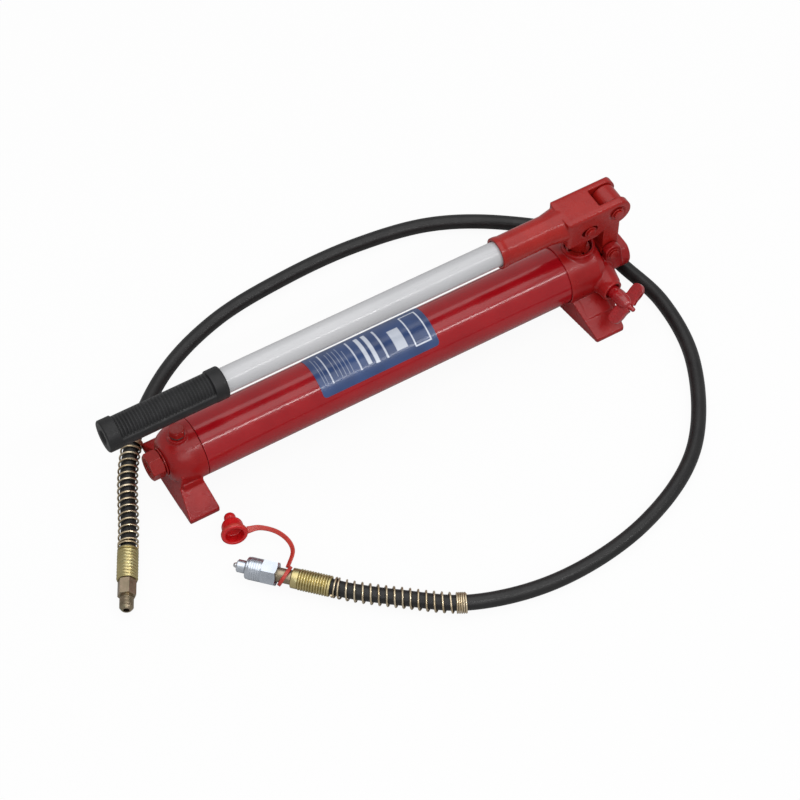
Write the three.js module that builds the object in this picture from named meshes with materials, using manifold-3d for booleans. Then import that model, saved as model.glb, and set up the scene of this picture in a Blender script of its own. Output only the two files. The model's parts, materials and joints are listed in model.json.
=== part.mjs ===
// Hydraulic hand pump: a tubular oil reservoir between two footed castings, a lever-worked
// plunger pump in the front casting, and a loose high-pressure hose with its end fittings.
// Millimetres. X runs along the reservoir towards the pump head, Y across it, Z up.
// The origin is on the floor, under the reservoir's axis, at the middle of the head's foot.
import * as THREE from 'three';
import { mergeVertices } from 'three/addons/utils/BufferGeometryUtils.js';
import Module from 'manifold-3d';

const wasm = await Module();
wasm.setup();

// ---------------------------------------------------------------- driving dimensions
const FIT = 0.3;                 // gap left between neighbouring pieces
const AXIS_Z = 42;               // height of the reservoir's axis
const TUBE_R = 30;
const TUBE_BORE_R = 27.5;
const SEAM_X = -432;             // where the tube meets the rear cap
const COLLAR_X = -25;            // where the tube enters the head's collar
const RECESS_X = -15;            // floor of the collar's recess

const CAP_NOSE_X = -467;         // flat end of the rear cap's dome
const REAR_FOOT = { x: -451, tipHalf: 16, rootHalf: 17, halfWidth: 52, topHalf: 27, topZ: 25, taper: 8 };
const HEAD_FOOT = { x: 0, tipHalf: 16, rootHalf: 25, halfWidth: 67, topHalf: 27, topZ: 26, taper: 2 };
const FOOT_PAD = 5;
const FOOT_CORNER = 3;

const ROD_R = 8;
const ROD_NUT_AF = 25;
const FILLER = { x: -449, seatZ: 73.5, boreR: 5.3 };

const PUMP_X = -1;               // the plunger's vertical axis
const PLUNGER_R = 6.5;
const PLUNGER_Z = 25.5;
const PLUNGER_PIN = { z: 116, radius: 4.5 };
const BARREL = { radius: 10, z0: 22.8, z1: 56 };
const BOSS = { radius: 17, topZ: 77, recessR: 14, recessZ: 66 };
const FULCRUM = { x: 30, z: 125, radius: 15.5 };
const LINK = { footZ: 62, halfWidth: 10, pinR: 5, topR: 13, footR: 9.5, shankBack: 8, shankFront: 10.5 };
const CHEEK = { inner: 10.6, outer: 18.5, bottomZ: 101 };
const LUG_HALF = 18;              // half width of the two lugs that hold the link's foot
const CLIP = { thickness: 0.9, proud: 2 };
const SLOT_HALF = 3.5;           // play of the plunger pin along the lever, each way
const LEVER_TOP_Z = 140;
const HANDLE_Z = 123;
const SOCKET = { mouthX: -98, stopX: -42, blockX: -27, outerR: 15.5, boreR: 13.1 };
const HANDLE = { radius: 12.7, boreR: 11, endX: -508 };
const GRIP = { x0: -522, x1: -397, collarR: 16.3, bodyR: 15.5, collarLength: 14 };

const OUTLET = { z: 38, radius: 17.5, faceX: 54, boreR: 6 };
const DELIVERY_X = 16;
const RELIEF_Y = 13;
const INTAKE_Z = 20;             // the suction tube, low in the reservoir
const VALVE_FLOOR_Z = 4;         // underside of the head, where the valve bores open
const RELEASE = { x: 10.5, y: -12.9, z: 38, turnDeg: 9, face: 31, baseR: 15, bossR: 11.5, boreR: 4.3 };
const WING = { turnDeg: 52, thickness: 5, centre: 20 };  // the knob's wings, leaning from upright

const HOSE_R = 7.5;
const HOSE_Z = 8;
const SPRING_Z = 10.6;           // centre height of the hose where its guard spring lies on the floor
const GUARD_SPRING = { coilR: 9.4, wireR: 1 };
const FERRULE_R = 10.3;
const MALE = { x: -565, y: -111, z: 10.5, headingDeg: 61.7, body: 15, ferrule: 34, end: 68, spring: 188 };
const COUPLER = { x: -456.1, y: -118.8, z: 12.7, headingDeg: -45.1, hex: 28, neck: 43, ferrule: 57, end: 97 };
const CAP = { x: -439.9, y: -91.4, z: 12.9, headingDeg: 254, tiltDeg: 12 };  // the cap's mouth and axis
const STRAP_LOOP = { inner: 9, outer: 11, width: 3.6, turnDeg: -14, tiltDeg: -18 };
const HOSE_WAY = [
  [-410, 113], [-335, 146], [-250, 158], [-165, 158], [-85, 143], [-18, 106], [42, 48], [58, -12],
  [65, -62], [51, -137], [-9, -227], [-96, -273], [-200, -285], [-285, -265.5], [-340, -227],
];

// Sides of the polygons that stand for circles: small, middling and large.
const ROUND = 12;
const ROUNDER = 16;
const ROUNDEST = 24;

const X = new THREE.Vector3(1, 0, 0);
const Y = new THREE.Vector3(0, 1, 0);
const Z = new THREE.Vector3(0, 0, 1);
const at = (x, y, z) => new THREE.Vector3(x, y, z);
const radians = THREE.MathUtils.degToRad;

// ---------------------------------------------------------------- materials
function finish(color, roughness, metalness) {
  return new THREE.MeshStandardMaterial({ color, roughness, metalness });
}
const redPaint = finish(0xa51d1d, 0.35, 0.1);
const whitePaint = finish(0xd9dadc, 0.3, 0.1);
const blackGrip = finish(0x26272a, 0.6, 0);
const blackHose = finish(0x1d1d1f, 0.55, 0);
const steel = finish(0xa7abb0, 0.35, 0.9);
const yellowZinc = finish(0xb59a56, 0.4, 0.8);
const springSteel = finish(0xbfb48e, 0.35, 0.85);
const clearZinc = finish(0xc3c9cf, 0.25, 0.9);
const redRubber = finish(0xb5121b, 0.5, 0);
const sealRubber = finish(0x1b1b1b, 0.7, 0);
const copper = finish(0xb87748, 0.4, 0.9);
const blueLabel = finish(0x2d4f8e, 0.4, 0);

// ---------------------------------------------------------------- shape helpers
// Joins vertices that coincide, drops triangles with no area and turns the faces outwards.
function weld(geometry) {
  const bare = geometry.clone();
  for (const name of Object.keys(bare.attributes)) {
    if (name !== 'position') bare.deleteAttribute(name);
  }
  const merged = mergeVertices(bare, 1e-4);
  const position = merged.getAttribute('position');
  const index = merged.index.array;
  const kept = [];
  const corner = [new THREE.Vector3(), new THREE.Vector3(), new THREE.Vector3()];
  let volume = 0;
  for (let i = 0; i < index.length; i += 3) {
    const triangle = [index[i], index[i + 1], index[i + 2]];
    if (new Set(triangle).size < 3) continue;
    kept.push(...triangle);
    triangle.forEach((vertex, n) => corner[n].fromBufferAttribute(position, vertex));
    volume += corner[0].dot(corner[1].cross(corner[2]));
  }
  if (volume < 0) kept.reverse();
  merged.setIndex(kept);
  return merged;
}

function solid(geometry) {
  const welded = weld(geometry);
  const vertProperties = new Float32Array(welded.getAttribute('position').array);
  const triVerts = new Uint32Array(welded.index.array);
  return new wasm.Manifold(new wasm.Mesh({ numProp: 3, vertProperties, triVerts }));
}

function surface(manifold) {
  const mesh = manifold.getMesh();
  const geometry = new THREE.BufferGeometry();
  geometry.setAttribute('position', new THREE.BufferAttribute(mesh.vertProperties, 3));
  geometry.setIndex(new THREE.BufferAttribute(mesh.triVerts, 1));
  return geometry;
}

// Joins the shapes in `add`, then cuts those in `cut` away.
function carve(add, cut = []) {
  let body = solid(add[0]);
  for (const shape of add.slice(1)) body = body.add(solid(shape));
  for (const shape of cut) body = body.subtract(solid(shape));
  return surface(body);
}

// Moves a shape drawn round the Z axis, so that its axis starts at `start` and points along `direction`.
function aim(geometry, start, direction) {
  const turn = new THREE.Quaternion().setFromUnitVectors(Z, direction.clone().normalize());
  geometry.applyQuaternion(turn);
  geometry.translate(start.x, start.y, start.z);
  return geometry;
}

// Turned shape from [radius, height] pairs. A profile that starts off the axis closes on itself.
function turned(profile, segments, start = at(0, 0, 0), direction = Z) {
  const points = profile.map(([radius, height]) => new THREE.Vector2(radius, height));
  if (profile[0][0] > 0) points.push(points[0].clone());
  const lathe = new THREE.LatheGeometry(points, segments);
  lathe.rotateX(Math.PI / 2);
  return aim(weld(lathe), start, direction);
}

function rod(radius, from, to, segments = ROUND) {
  const direction = to.clone().sub(from);
  const length = direction.length();
  return turned([[0, 0], [radius, 0], [radius, length], [0, length]], segments, from, direction);
}

function ring(inner, outer, length, start, direction, segments = ROUND) {
  const profile = [[inner, 0], [outer, 0], [outer, length], [inner, length]];
  return turned(profile, segments, start, direction);
}

function ball(radius, centre) {
  const sphere = new THREE.SphereGeometry(radius, 8, 6);
  sphere.translate(centre.x, centre.y, centre.z);
  return weld(sphere);
}

function block(x0, x1, y0, y1, z0, z1) {
  const box = new THREE.BoxGeometry(x1 - x0, y1 - y0, z1 - z0);
  box.translate((x0 + x1) / 2, (y0 + y1) / 2, (z0 + z1) / 2);
  return box;
}

// Flat outline pushed along an axis from `low` to `high`. Its points are (y, z), (x, z) or (x, y).
function prism(axis, outline, low, high) {
  const shape = new THREE.Shape(outline.map(([u, v]) => new THREE.Vector2(u, v)));
  const body = new THREE.ExtrudeGeometry(shape, { depth: high - low, bevelEnabled: false });
  body.translate(0, 0, low);
  const basis = { x: [Y, Z, X], y: [X, Z, Y], z: [X, Y, Z] }[axis];
  body.applyMatrix4(new THREE.Matrix4().makeBasis(...basis));
  return body;
}

// Points of an arc from angle a0 to a1, in degrees.
function arc(cx, cy, radius, a0, a1, steps) {
  return Array.from({ length: steps + 1 }, (_, i) => {
    const angle = radians(a0 + ((a1 - a0) * i) / steps);
    return [cx + radius * Math.cos(angle), cy + radius * Math.sin(angle)];
  });
}

function hexBar(acrossFlats, length, start, direction, turnDeg = 0) {
  const cornerR = acrossFlats / Math.sqrt(3);
  const bar = turned([[0, 0], [cornerR, 0], [cornerR, length], [0, length]], 6);
  bar.rotateZ(radians(turnDeg));
  return aim(bar, start, direction);
}

function sweep(curve, outline, steps) {
  const shape = new THREE.Shape(outline.map(([u, v]) => new THREE.Vector2(u, v)));
  return weld(new THREE.ExtrudeGeometry(shape, { steps, bevelEnabled: false, extrudePath: curve }));
}

function disc(radius, sides) {
  return arc(0, 0, radius, 0, 360 - 360 / sides, sides - 1);
}

// Helix round a centre line. `frame(t)` gives the point and two cross directions there.
class Coil extends THREE.Curve {
  constructor(frame, coilR, turns) {
    super();
    Object.assign(this, { frame, coilR, turns });
  }

  getPoint(t) {
    const { point, across, up } = this.frame(t);
    const angle = 2 * Math.PI * this.turns * t;
    const place = point.clone().addScaledVector(across, this.coilR * Math.cos(angle));
    return place.addScaledVector(up, this.coilR * Math.sin(angle));
  }
}

function straightSpring(coilR, wireR, turns, from, to) {
  const direction = to.clone().sub(from).normalize();
  const across = Math.abs(direction.z) > 0.9 ? X : Z;
  const up = direction.clone().cross(across).normalize();
  const low = from.clone().addScaledVector(direction, wireR);
  const high = to.clone().addScaledVector(direction, -wireR);
  const frame = (t) => ({ point: low.clone().lerp(high, t), across, up });
  return sweep(new Coil(frame, coilR, turns), disc(wireR, 3), Math.round(turns * 8));
}

const group = new THREE.Group();
function piece(name, geometry, material) {
  const mesh = new THREE.Mesh(geometry, material);
  mesh.name = name;
  group.add(mesh);
}

// A pair of sloping legs: wide on the floor, narrow under the casting, hollow under each leg.
function legs({ x, tipHalf, rootHalf, halfWidth, topHalf, topZ, taper }) {
  const across = [
    [-halfWidth, 0], [-halfWidth, FOOT_PAD], [-topHalf, topZ], [-topHalf, AXIS_Z],
    [topHalf, AXIS_Z], [topHalf, topZ], [halfWidth, FOOT_PAD], [halfWidth, 0],
  ];
  const along = [[-rootHalf, 0], [rootHalf, 0], [rootHalf - taper, AXIS_Z], [taper - rootHalf, AXIS_Z]];
  const shoulder = halfWidth - FOOT_CORNER;
  const corner = tipHalf - FOOT_CORNER;
  const plan = [
    [-corner, -halfWidth], [corner, -halfWidth], [tipHalf, -shoulder], [rootHalf, 0], [tipHalf, shoulder],
    [corner, halfWidth], [-corner, halfWidth], [-tipHalf, shoulder], [-rootHalf, 0], [-tipHalf, -shoulder],
  ];
  const pocket = (side) => {
    const ends = [side * 12, side * (halfWidth - 10)].sort((p, q) => p - q);
    return solid(block(-tipHalf + 5, tipHalf - 5, ...ends, -1, 6));
  };
  const outside = solid(prism('x', across, -rootHalf, rootHalf))
    .intersect(solid(prism('y', along, -halfWidth, halfWidth)))
    .intersect(solid(prism('z', plan, 0, AXIS_Z)));
  const pair = surface(outside.subtract(pocket(-1)).subtract(pocket(1)));
  pair.translate(x, 0, 0);
  return pair;
}

// ---------------------------------------------------------------- reservoir
function reservoir() {
  const tubeEnd = RECESS_X - 2.4;
  const tube = ring(TUBE_BORE_R, TUBE_R, tubeEnd - SEAM_X, at(SEAM_X, 0, AXIS_Z), X, ROUNDEST);
  piece('reservoir_tube', tube, redPaint);
  const front = at(tubeEnd + FIT, 0, AXIS_Z);
  piece('front_gasket', ring(TUBE_BORE_R, TUBE_R - FIT, 1.8, front, X, ROUNDEST), sealRubber);
  const rear = at(SEAM_X + 3, 0, AXIS_Z);
  piece('rear_gasket', ring(TUBE_BORE_R - 2.5, TUBE_BORE_R - FIT, 2.4, rear, X, ROUNDEST), sealRubber);
}

function label() {
  const inner = TUBE_R + 0.3;
  const outer = inner + 0.4;
  const outline = [...arc(0, AXIS_Z, outer, 40, 147, 18), ...arc(0, AXIS_Z, inner, 147, 40, 18)];
  piece('label', prism('x', outline, -304, -175), blueLabel);
}

function rearCap() {
  const dome = [
    [0, CAP_NOSE_X], [16, CAP_NOSE_X], [22, CAP_NOSE_X + 2.5], [26.5, CAP_NOSE_X + 8],
    [29.2, CAP_NOSE_X + 17], [TUBE_R, CAP_NOSE_X + 28], [TUBE_R, SEAM_X - FIT], [0, SEAM_X - FIT],
  ];
  const spigotR = TUBE_BORE_R - FIT;
  const axis = at(0, 0, AXIS_Z);
  const shapes = [
    turned(dome, ROUNDEST, axis, X),
    rod(spigotR, at(SEAM_X - 4, 0, AXIS_Z), at(SEAM_X + 8, 0, AXIS_Z), ROUNDEST),
    rod(9, at(FILLER.x, 0, 60), at(FILLER.x, 0, FILLER.seatZ)),
    legs(REAR_FOOT),
  ];
  const grooveFloor = spigotR - 2.8;
  const hollow = [[0, CAP_NOSE_X + 8], [12, CAP_NOSE_X + 8], [21, SEAM_X - 20], [21, SEAM_X + 9],
    [0, SEAM_X + 9]];
  const cuts = [
    turned(hollow, ROUNDEST, axis, X),
    rod(ROD_R + 0.4, at(CAP_NOSE_X - 1, 0, AXIS_Z), at(CAP_NOSE_X + 10, 0, AXIS_Z)),
    ring(grooveFloor, spigotR + 1, 3, at(SEAM_X + 2.7, 0, AXIS_Z), X, ROUNDEST),
    rod(FILLER.boreR, at(FILLER.x, 0, 55), at(FILLER.x, 0, 80)),
  ];
  piece('rear_cap', carve(shapes, cuts), redPaint);
}

function tieRod() {
  const washerX = CAP_NOSE_X - FIT - 1.5;
  const nutX = washerX - FIT;
  piece('tie_rod', rod(ROD_R, at(nutX - 10, 0, AXIS_Z), at(-13, 0, AXIS_Z)), steel);
  piece('tie_rod_washer', ring(ROD_R + FIT, 15, 1.5, at(washerX, 0, AXIS_Z), X), copper);
  const cut = rod(ROD_R + FIT, at(nutX - 10.3, 0, AXIS_Z), at(nutX + 1, 0, AXIS_Z));
  const nut = hexBar(ROD_NUT_AF, 14, at(nutX - 14, 0, AXIS_Z), X, 15);
  piece('tie_rod_nut', carve([nut], [cut]), redPaint);
}

function fillerPlug() {
  const seat = FILLER.seatZ;
  const sealTop = seat + FIT + 1.6;
  piece('filler_seal', ring(FILLER.boreR + 0.2, 7.6, 1.6, at(FILLER.x, 0, seat + FIT), Z), sealRubber);
  const stem = rod(FILLER.boreR - 0.4, at(FILLER.x, 0, seat - 14), at(FILLER.x, 0, seat + 4));
  const head = hexBar(14, 8, at(FILLER.x, 0, sealTop + FIT), Z);
  piece('filler_plug', carve([stem, head]), redPaint);
}

// ---------------------------------------------------------------- pump head and what it holds
const releaseAxis = at(Math.sin(radians(RELEASE.turnDeg)), -Math.cos(radians(RELEASE.turnDeg)), 0);
const onRelease = (s) => at(RELEASE.x, RELEASE.y, RELEASE.z).addScaledVector(releaseAxis, s);

function headShapes() {
  const axis = at(0, 0, AXIS_Z);
  const lugs = [[22, 36], [22, LINK.footZ], ...arc(FULCRUM.x, LINK.footZ, 10, 150, 0, 8), [44, 36]];
  return [
    turned([[0, COLLAR_X], [31.6, COLLAR_X], [31.6, 9], [27, 17], [0, 17]], ROUNDEST, axis, X),
    turned([[0, -32], [14, -32], [14, RECESS_X + 1], [0, RECESS_X + 1]], ROUND, axis, X),
    rod(BOSS.radius, at(PUMP_X, 0, 40), at(PUMP_X, 0, BOSS.topZ), ROUNDER),
    prism('y', lugs, -LUG_HALF, LUG_HALF),
    turned([[0, 10], [OUTLET.radius, 10], [OUTLET.radius, OUTLET.faceX - 3],
      [OUTLET.radius - 3, OUTLET.faceX], [0, OUTLET.faceX]], ROUNDER, at(0, 0, OUTLET.z), X),
    turned([[0, 0], [RELEASE.baseR, 0], [RELEASE.bossR, RELEASE.face - 10], [RELEASE.bossR, RELEASE.face],
      [0, RELEASE.face]], ROUND, onRelease(0), releaseAxis),
    block(-15, 24, -20, 21, VALVE_FLOOR_Z, 34),
    block(-12, 9, -24, 24, 0, 20),
    legs(HEAD_FOOT),
  ];
}

function headCuts() {
  const recess = turned([[14.2, COLLAR_X - 1], [TUBE_R + FIT, COLLAR_X - 1], [TUBE_R + FIT, RECESS_X],
    [14.2, RECESS_X]], ROUNDEST, at(0, 0, AXIS_Z), X);
  return [
    recess,
    rod(ROD_R + FIT, at(-33, 0, AXIS_Z), at(-12.2, 0, AXIS_Z)),
    rod(BOSS.recessR, at(PUMP_X, 0, BOSS.recessZ), at(PUMP_X, 0, BOSS.topZ + 1), ROUNDER),
    rod(BARREL.radius + FIT, at(PUMP_X, 0, BARREL.z0 - FIT), at(PUMP_X, 0, BOSS.topZ), ROUNDER),
    rod(4.3, at(PUMP_X, 0, 12), at(PUMP_X, 0, BARREL.z0)),
    rod(2.2, at(PUMP_X, 0, 8), at(PUMP_X, 0, 13)),
    rod(2, at(-16, 0, INTAKE_Z), at(PUMP_X, 0, 9.5), 8),
    rod(1.6, at(PUMP_X, 0, 19), at(DELIVERY_X, 0, 19), 8),
    rod(5.3, at(DELIVERY_X, 0, 3), at(DELIVERY_X, 0, 24)),
    rod(4.3, at(DELIVERY_X, 0, 23), at(DELIVERY_X, 0, OUTLET.z)),
    rod(OUTLET.boreR, at(11, 0, OUTLET.z), at(OUTLET.faceX + 1, 0, OUTLET.z)),
    rod(4.3, at(DELIVERY_X, RELIEF_Y, 3), at(DELIVERY_X, RELIEF_Y, 26)),
    rod(1.2, at(DELIVERY_X, RELIEF_Y, 25), at(DELIVERY_X, RELIEF_Y, 38), 8),
    rod(1.2, at(DELIVERY_X, RELIEF_Y + 1, 37), at(DELIVERY_X, 4, 37), 8),
    rod(1.5, at(DELIVERY_X, RELIEF_Y, 18), at(-16, 15, 26), 8),
    rod(RELEASE.boreR, onRelease(0), onRelease(RELEASE.face + 1)),
    rod(8.4, onRelease(RELEASE.face - 9), onRelease(RELEASE.face + 1), ROUND),
    rod(1.3, at(17, -2, OUTLET.z), onRelease(1), 8),
    rod(1.6, onRelease(4), at(-16, -17, 42), 8),
    block(FULCRUM.x - 13, FULCRUM.x + 30, -CHEEK.inner, CHEEK.inner, LINK.footZ - LINK.footR - 1, 90),
    rod(LINK.pinR + FIT, at(FULCRUM.x, -19, LINK.footZ), at(FULCRUM.x, 19, LINK.footZ)),
  ];
}

function pumpHead() {
  piece('pump_head', carve(headShapes(), headCuts()), redPaint);
}

function barrelAndSeals() {
  const { radius, z0, z1 } = BARREL;
  const bore = PLUNGER_R + FIT;
  const centre = at(PUMP_X, 0, 0);
  const barrel = [[2, z0], [radius, z0], [radius, z1], [bore, z1], [bore, z0 + 2], [2, z0 + 2]];
  piece('pump_barrel', turned(barrel, ROUNDER, centre, Z), steel);
  piece('plunger_seal', ring(bore, radius, 4.4, at(PUMP_X, 0, z1 + FIT), Z, ROUNDER), sealRubber);
  piece('backup_ring', ring(bore, radius, 1.8, at(PUMP_X, 0, z1 + 5), Z, ROUNDER), whitePaint);
  const foot = z1 + 7.1;
  const nut = [[bore, foot], [radius, foot], [radius, BOSS.recessZ + FIT], [12.6, BOSS.recessZ + FIT],
    [12.6, 72], [11.6, 73], [bore, 73]];
  piece('gland_nut', turned(nut, ROUNDER, centre, Z), steel);
}

function intake() {
  const wall = RECESS_X - FIT;
  piece('suction_tube', ring(2, 3, 27, at(wall - 27, 0, INTAKE_Z), X, 8), steel);
  const mesh = [[0, 0], [5, 0], [5, 14], [3.3, 14], [3.3, 2], [0, 2]];
  piece('suction_strainer', turned(mesh, 8, at(wall - 34, 0, INTAKE_Z), X), springSteel);
}

function checkValves() {
  const floor = VALVE_FLOOR_Z + 0.2;
  piece('suction_ball', ball(3.4, at(PUMP_X, 0, 15.2)), steel);
  const suctionTop = at(PUMP_X, 0, BARREL.z0 - FIT);
  piece('suction_spring', straightSpring(2.4, 0.4, 3, at(PUMP_X, 0, 18.9), suctionTop), springSteel);
  const seat = carve(
    [rod(5, at(DELIVERY_X, 0, floor), at(DELIVERY_X, 0, 23.6))],
    [
      rod(1.5, at(DELIVERY_X, 0, 18.5), at(DELIVERY_X, 0, 25), 8),
      rod(1.5, at(DELIVERY_X - 7, 0, 19), at(DELIVERY_X, 0, 19), 8),
    ],
  );
  piece('delivery_seat', seat, steel);
  piece('delivery_ball', ball(3, at(DELIVERY_X, 0, 26.5)), steel);
  const ceiling = at(DELIVERY_X, 0, OUTLET.z + OUTLET.boreR - 0.5);
  piece('delivery_spring', straightSpring(2.4, 0.4, 6, at(DELIVERY_X, 0, 29.8), ceiling), springSteel);
  const relief = (z) => at(DELIVERY_X, RELIEF_Y, z);
  piece('relief_screw', rod(4, relief(floor), relief(12)), steel);
  piece('relief_spring', straightSpring(2.4, 0.5, 4, relief(12.3), relief(21.3)), springSteel);
  piece('relief_ball', ball(2.2, relief(23.8)), steel);
}

function releaseValve() {
  const out = releaseAxis;
  piece('release_ball', ball(2.3, onRelease(2.9)), steel);
  const spindle = [[0, 5.5], [1.8, 5.5], [3.9, 9], [3.9, RELEASE.face - 14], [2.9, RELEASE.face - 14],
    [2.9, RELEASE.face - 11], [3.9, RELEASE.face - 11], [3.9, RELEASE.face + 11], [0, RELEASE.face + 11]];
  const pinAt = onRelease(RELEASE.face + 4);
  const pinHole = rod(1.3, pinAt.clone().addScaledVector(Z, -9), pinAt.clone().addScaledVector(Z, 9), 8);
  piece('release_spindle', carve([turned(spindle, ROUND, onRelease(0), out)], [pinHole]), steel);
  const sealRing = ring(3.1, 4.1, 2.4, onRelease(RELEASE.face - 13.7), out);
  piece('release_seal', sealRing, sealRubber);
  const { face } = RELEASE;
  const wing = (turnDeg) => {
    const radial = Z.clone().applyAxisAngle(out, radians(turnDeg));
    const outline = [[4, -8], [10, -6.6], [17, -7], [21.5, -5.6], [23.5, -1.5], [23.2, 2.4], [20.5, 6],
      [15, 7.3], [9, 7], [4, 8.5]];
    const shape = new THREE.Shape(outline.map(([u, v]) => new THREE.Vector2(u, v)));
    const { thickness } = WING;
    const blade = new THREE.ExtrudeGeometry(shape, { depth: thickness, bevelEnabled: false });
    blade.translate(0, 0, -thickness / 2);
    blade.applyMatrix4(new THREE.Matrix4().makeBasis(radial, out, radial.clone().cross(out)));
    const centre = onRelease(face + WING.centre);
    blade.translate(centre.x, centre.y, centre.z);
    return blade;
  };
  const hub = turned([[0, face - 5], [6.8, face - 5], [6.8, face + 4], [7.4, face + 9], [7.4, face + 20],
    [5, face + 23.5], [2.3, face + 25], [2, face + 32], [0, face + 32]], ROUND, onRelease(0), out);
  const socket = rod(4.2, onRelease(face - 6), onRelease(face + 11.4));
  const knob = carve([hub, wing(-WING.turnDeg), wing(180 - WING.turnDeg)], [socket, pinHole]);
  piece('release_knob', knob, redRubber);
  const pinEnd = (half) => pinAt.clone().addScaledVector(Z, half);
  piece('knob_pin', rod(1, pinEnd(-7.5), pinEnd(7.5), 8), steel);
}

// ---------------------------------------------------------------- plunger, link and lever
// A headed pin through something that reaches from -halfWidth to halfWidth, held by a clip in a groove.
function crossPin(name, x, z, radius, halfWidth) {
  const clipIn = -halfWidth - FIT;
  const clipOut = clipIn - CLIP.thickness;
  const headIn = halfWidth + FIT;
  const profile = [
    [0, clipOut - 2], [radius - 0.5, clipOut - 2], [radius, clipOut - 1.5], [radius, clipOut - 0.2],
    [radius - 1, clipOut - 0.2], [radius - 1, clipIn + 0.2], [radius, clipIn + 0.2], [radius, headIn],
    [radius + 2, headIn], [radius + 2, headIn + 1.6], [radius + 1.4, headIn + 2.2], [0, headIn + 2.2],
  ];
  piece(name, turned(profile, ROUND, at(x, 0, z), Y), steel);
  const clip = ring(radius - 0.8, radius + CLIP.proud, CLIP.thickness, at(x, clipOut, z), Y);
  piece(`${name}_clip`, clip, steel);
}

function plunger() {
  const { z, radius } = PLUNGER_PIN;
  const neck = z - 6;
  const profile = [[0, PLUNGER_Z], [PLUNGER_R - 1, PLUNGER_Z], [PLUNGER_R, PLUNGER_Z + 1],
    [PLUNGER_R, neck], [0, neck]];
  const shaft = turned(profile, ROUNDER, at(PUMP_X, 0, 0), Z);
  const eye = rod(10, at(PUMP_X, -9.6, z), at(PUMP_X, 9.6, z), ROUNDER);
  const hole = rod(radius + FIT, at(PUMP_X, -11, z), at(PUMP_X, 11, z));
  piece('pump_plunger', carve([shaft, eye], [hole]), steel);
  crossPin('plunger_pin', PUMP_X, z, radius, CHEEK.outer);
}

function link() {
  const { footZ, halfWidth, topR, footR, shankBack, shankFront, pinR } = LINK;
  const x = FULCRUM.x;
  const knuckle = (z, radius) => rod(radius, at(x, -halfWidth, z), at(x, halfWidth, z), ROUNDER);
  const hole = (z) => rod(pinR + 0.4, at(x, -halfWidth - 1, z), at(x, halfWidth + 1, z));
  const shank = block(x - shankBack, x + shankFront, -halfWidth, halfWidth, footZ, FULCRUM.z);
  const shapes = [shank, knuckle(footZ, footR), knuckle(FULCRUM.z, topR)];
  piece('fulcrum_link', carve(shapes, [hole(footZ), hole(FULCRUM.z)]), redPaint);
  crossPin('link_pin', x, footZ, pinR, LUG_HALF);
  crossPin('fulcrum_pin', x, FULCRUM.z, pinR, CHEEK.outer);
}

function leverSocket() {
  const { mouthX, stopX, blockX, outerR, boreR } = SOCKET;
  const side = [
    [blockX, LEVER_TOP_Z], [FULCRUM.x, LEVER_TOP_Z],
    ...arc(FULCRUM.x, FULCRUM.z, FULCRUM.radius, 78, -90, 12),
    [18, FULCRUM.z - FULCRUM.radius], [6, CHEEK.bottomZ], [blockX + 4, CHEEK.bottomZ],
    [blockX, CHEEK.bottomZ + 5],
  ];
  const axis = at(0, 0, HANDLE_Z);
  const sleeve = [[0, mouthX], [outerR + 0.8, mouthX], [outerR + 0.8, mouthX + 5], [outerR, mouthX + 7],
    [outerR, blockX + 2], [0, blockX + 2]];
  const shapes = [turned(sleeve, ROUNDER, axis, X), prism('y', side, -CHEEK.outer, CHEEK.outer)];
  const slotR = PLUNGER_PIN.radius + 1;
  const slot = (dx) => rod(slotR, at(PUMP_X + dx, -30, PLUNGER_PIN.z), at(PUMP_X + dx, 30, PLUNGER_PIN.z));
  const cuts = [
    rod(boreR, at(mouthX - 1, 0, HANDLE_Z), at(stopX, 0, HANDLE_Z), ROUNDER),
    block(blockX + 6, 70, -CHEEK.inner, CHEEK.inner, 80, 133),
    block(13, 70, -CHEEK.inner, CHEEK.inner, 80, 160),
    rod(LINK.pinR + FIT, at(FULCRUM.x, -30, FULCRUM.z), at(FULCRUM.x, 30, FULCRUM.z)),
    slot(-SLOT_HALF),
    slot(SLOT_HALF),
    block(PUMP_X - SLOT_HALF, PUMP_X + SLOT_HALF, -30, 30, PLUNGER_PIN.z - slotR, PLUNGER_PIN.z + slotR),
  ];
  piece('handle_socket', carve(shapes, cuts), redPaint);
}

function handle() {
  const { radius, boreR, endX } = HANDLE;
  const inner = SOCKET.stopX - 1;
  piece('handle_tube', ring(boreR, radius, inner - endX, at(endX, 0, HANDLE_Z), X, ROUNDER), whitePaint);
  const { x0, x1, collarR, bodyR, collarLength } = GRIP;
  const bore = radius + 0.25;
  const grip = [
    [0, x0], [collarR - 1.5, x0], [collarR, x0 + 1.5], [collarR, x0 + collarLength],
    [bodyR, x0 + collarLength], [bodyR, x1 - collarLength], [collarR, x1 - collarLength],
    [collarR, x1 - 1], [collarR - 1, x1], [bore, x1], [bore, endX - 1], [0, endX - 1],
  ];
  piece('handle_grip', turned(grip, ROUNDER, at(0, 0, HANDLE_Z), X), blackGrip);
}

// ---------------------------------------------------------------- hose and its ends
function heading(turnDeg, tiltDeg = 0) {
  const turn = radians(turnDeg);
  const tilt = radians(tiltDeg);
  return at(Math.cos(tilt) * Math.cos(turn), Math.cos(tilt) * Math.sin(turn), Math.sin(tilt));
}

const maleAxis = heading(MALE.headingDeg);
const couplerAxis = heading(COUPLER.headingDeg);
const onMale = (s) => at(MALE.x, MALE.y, MALE.z).addScaledVector(maleAxis, s);
const onCoupler = (s) => at(COUPLER.x, COUPLER.y, COUPLER.z).addScaledVector(couplerAxis, s);

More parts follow.
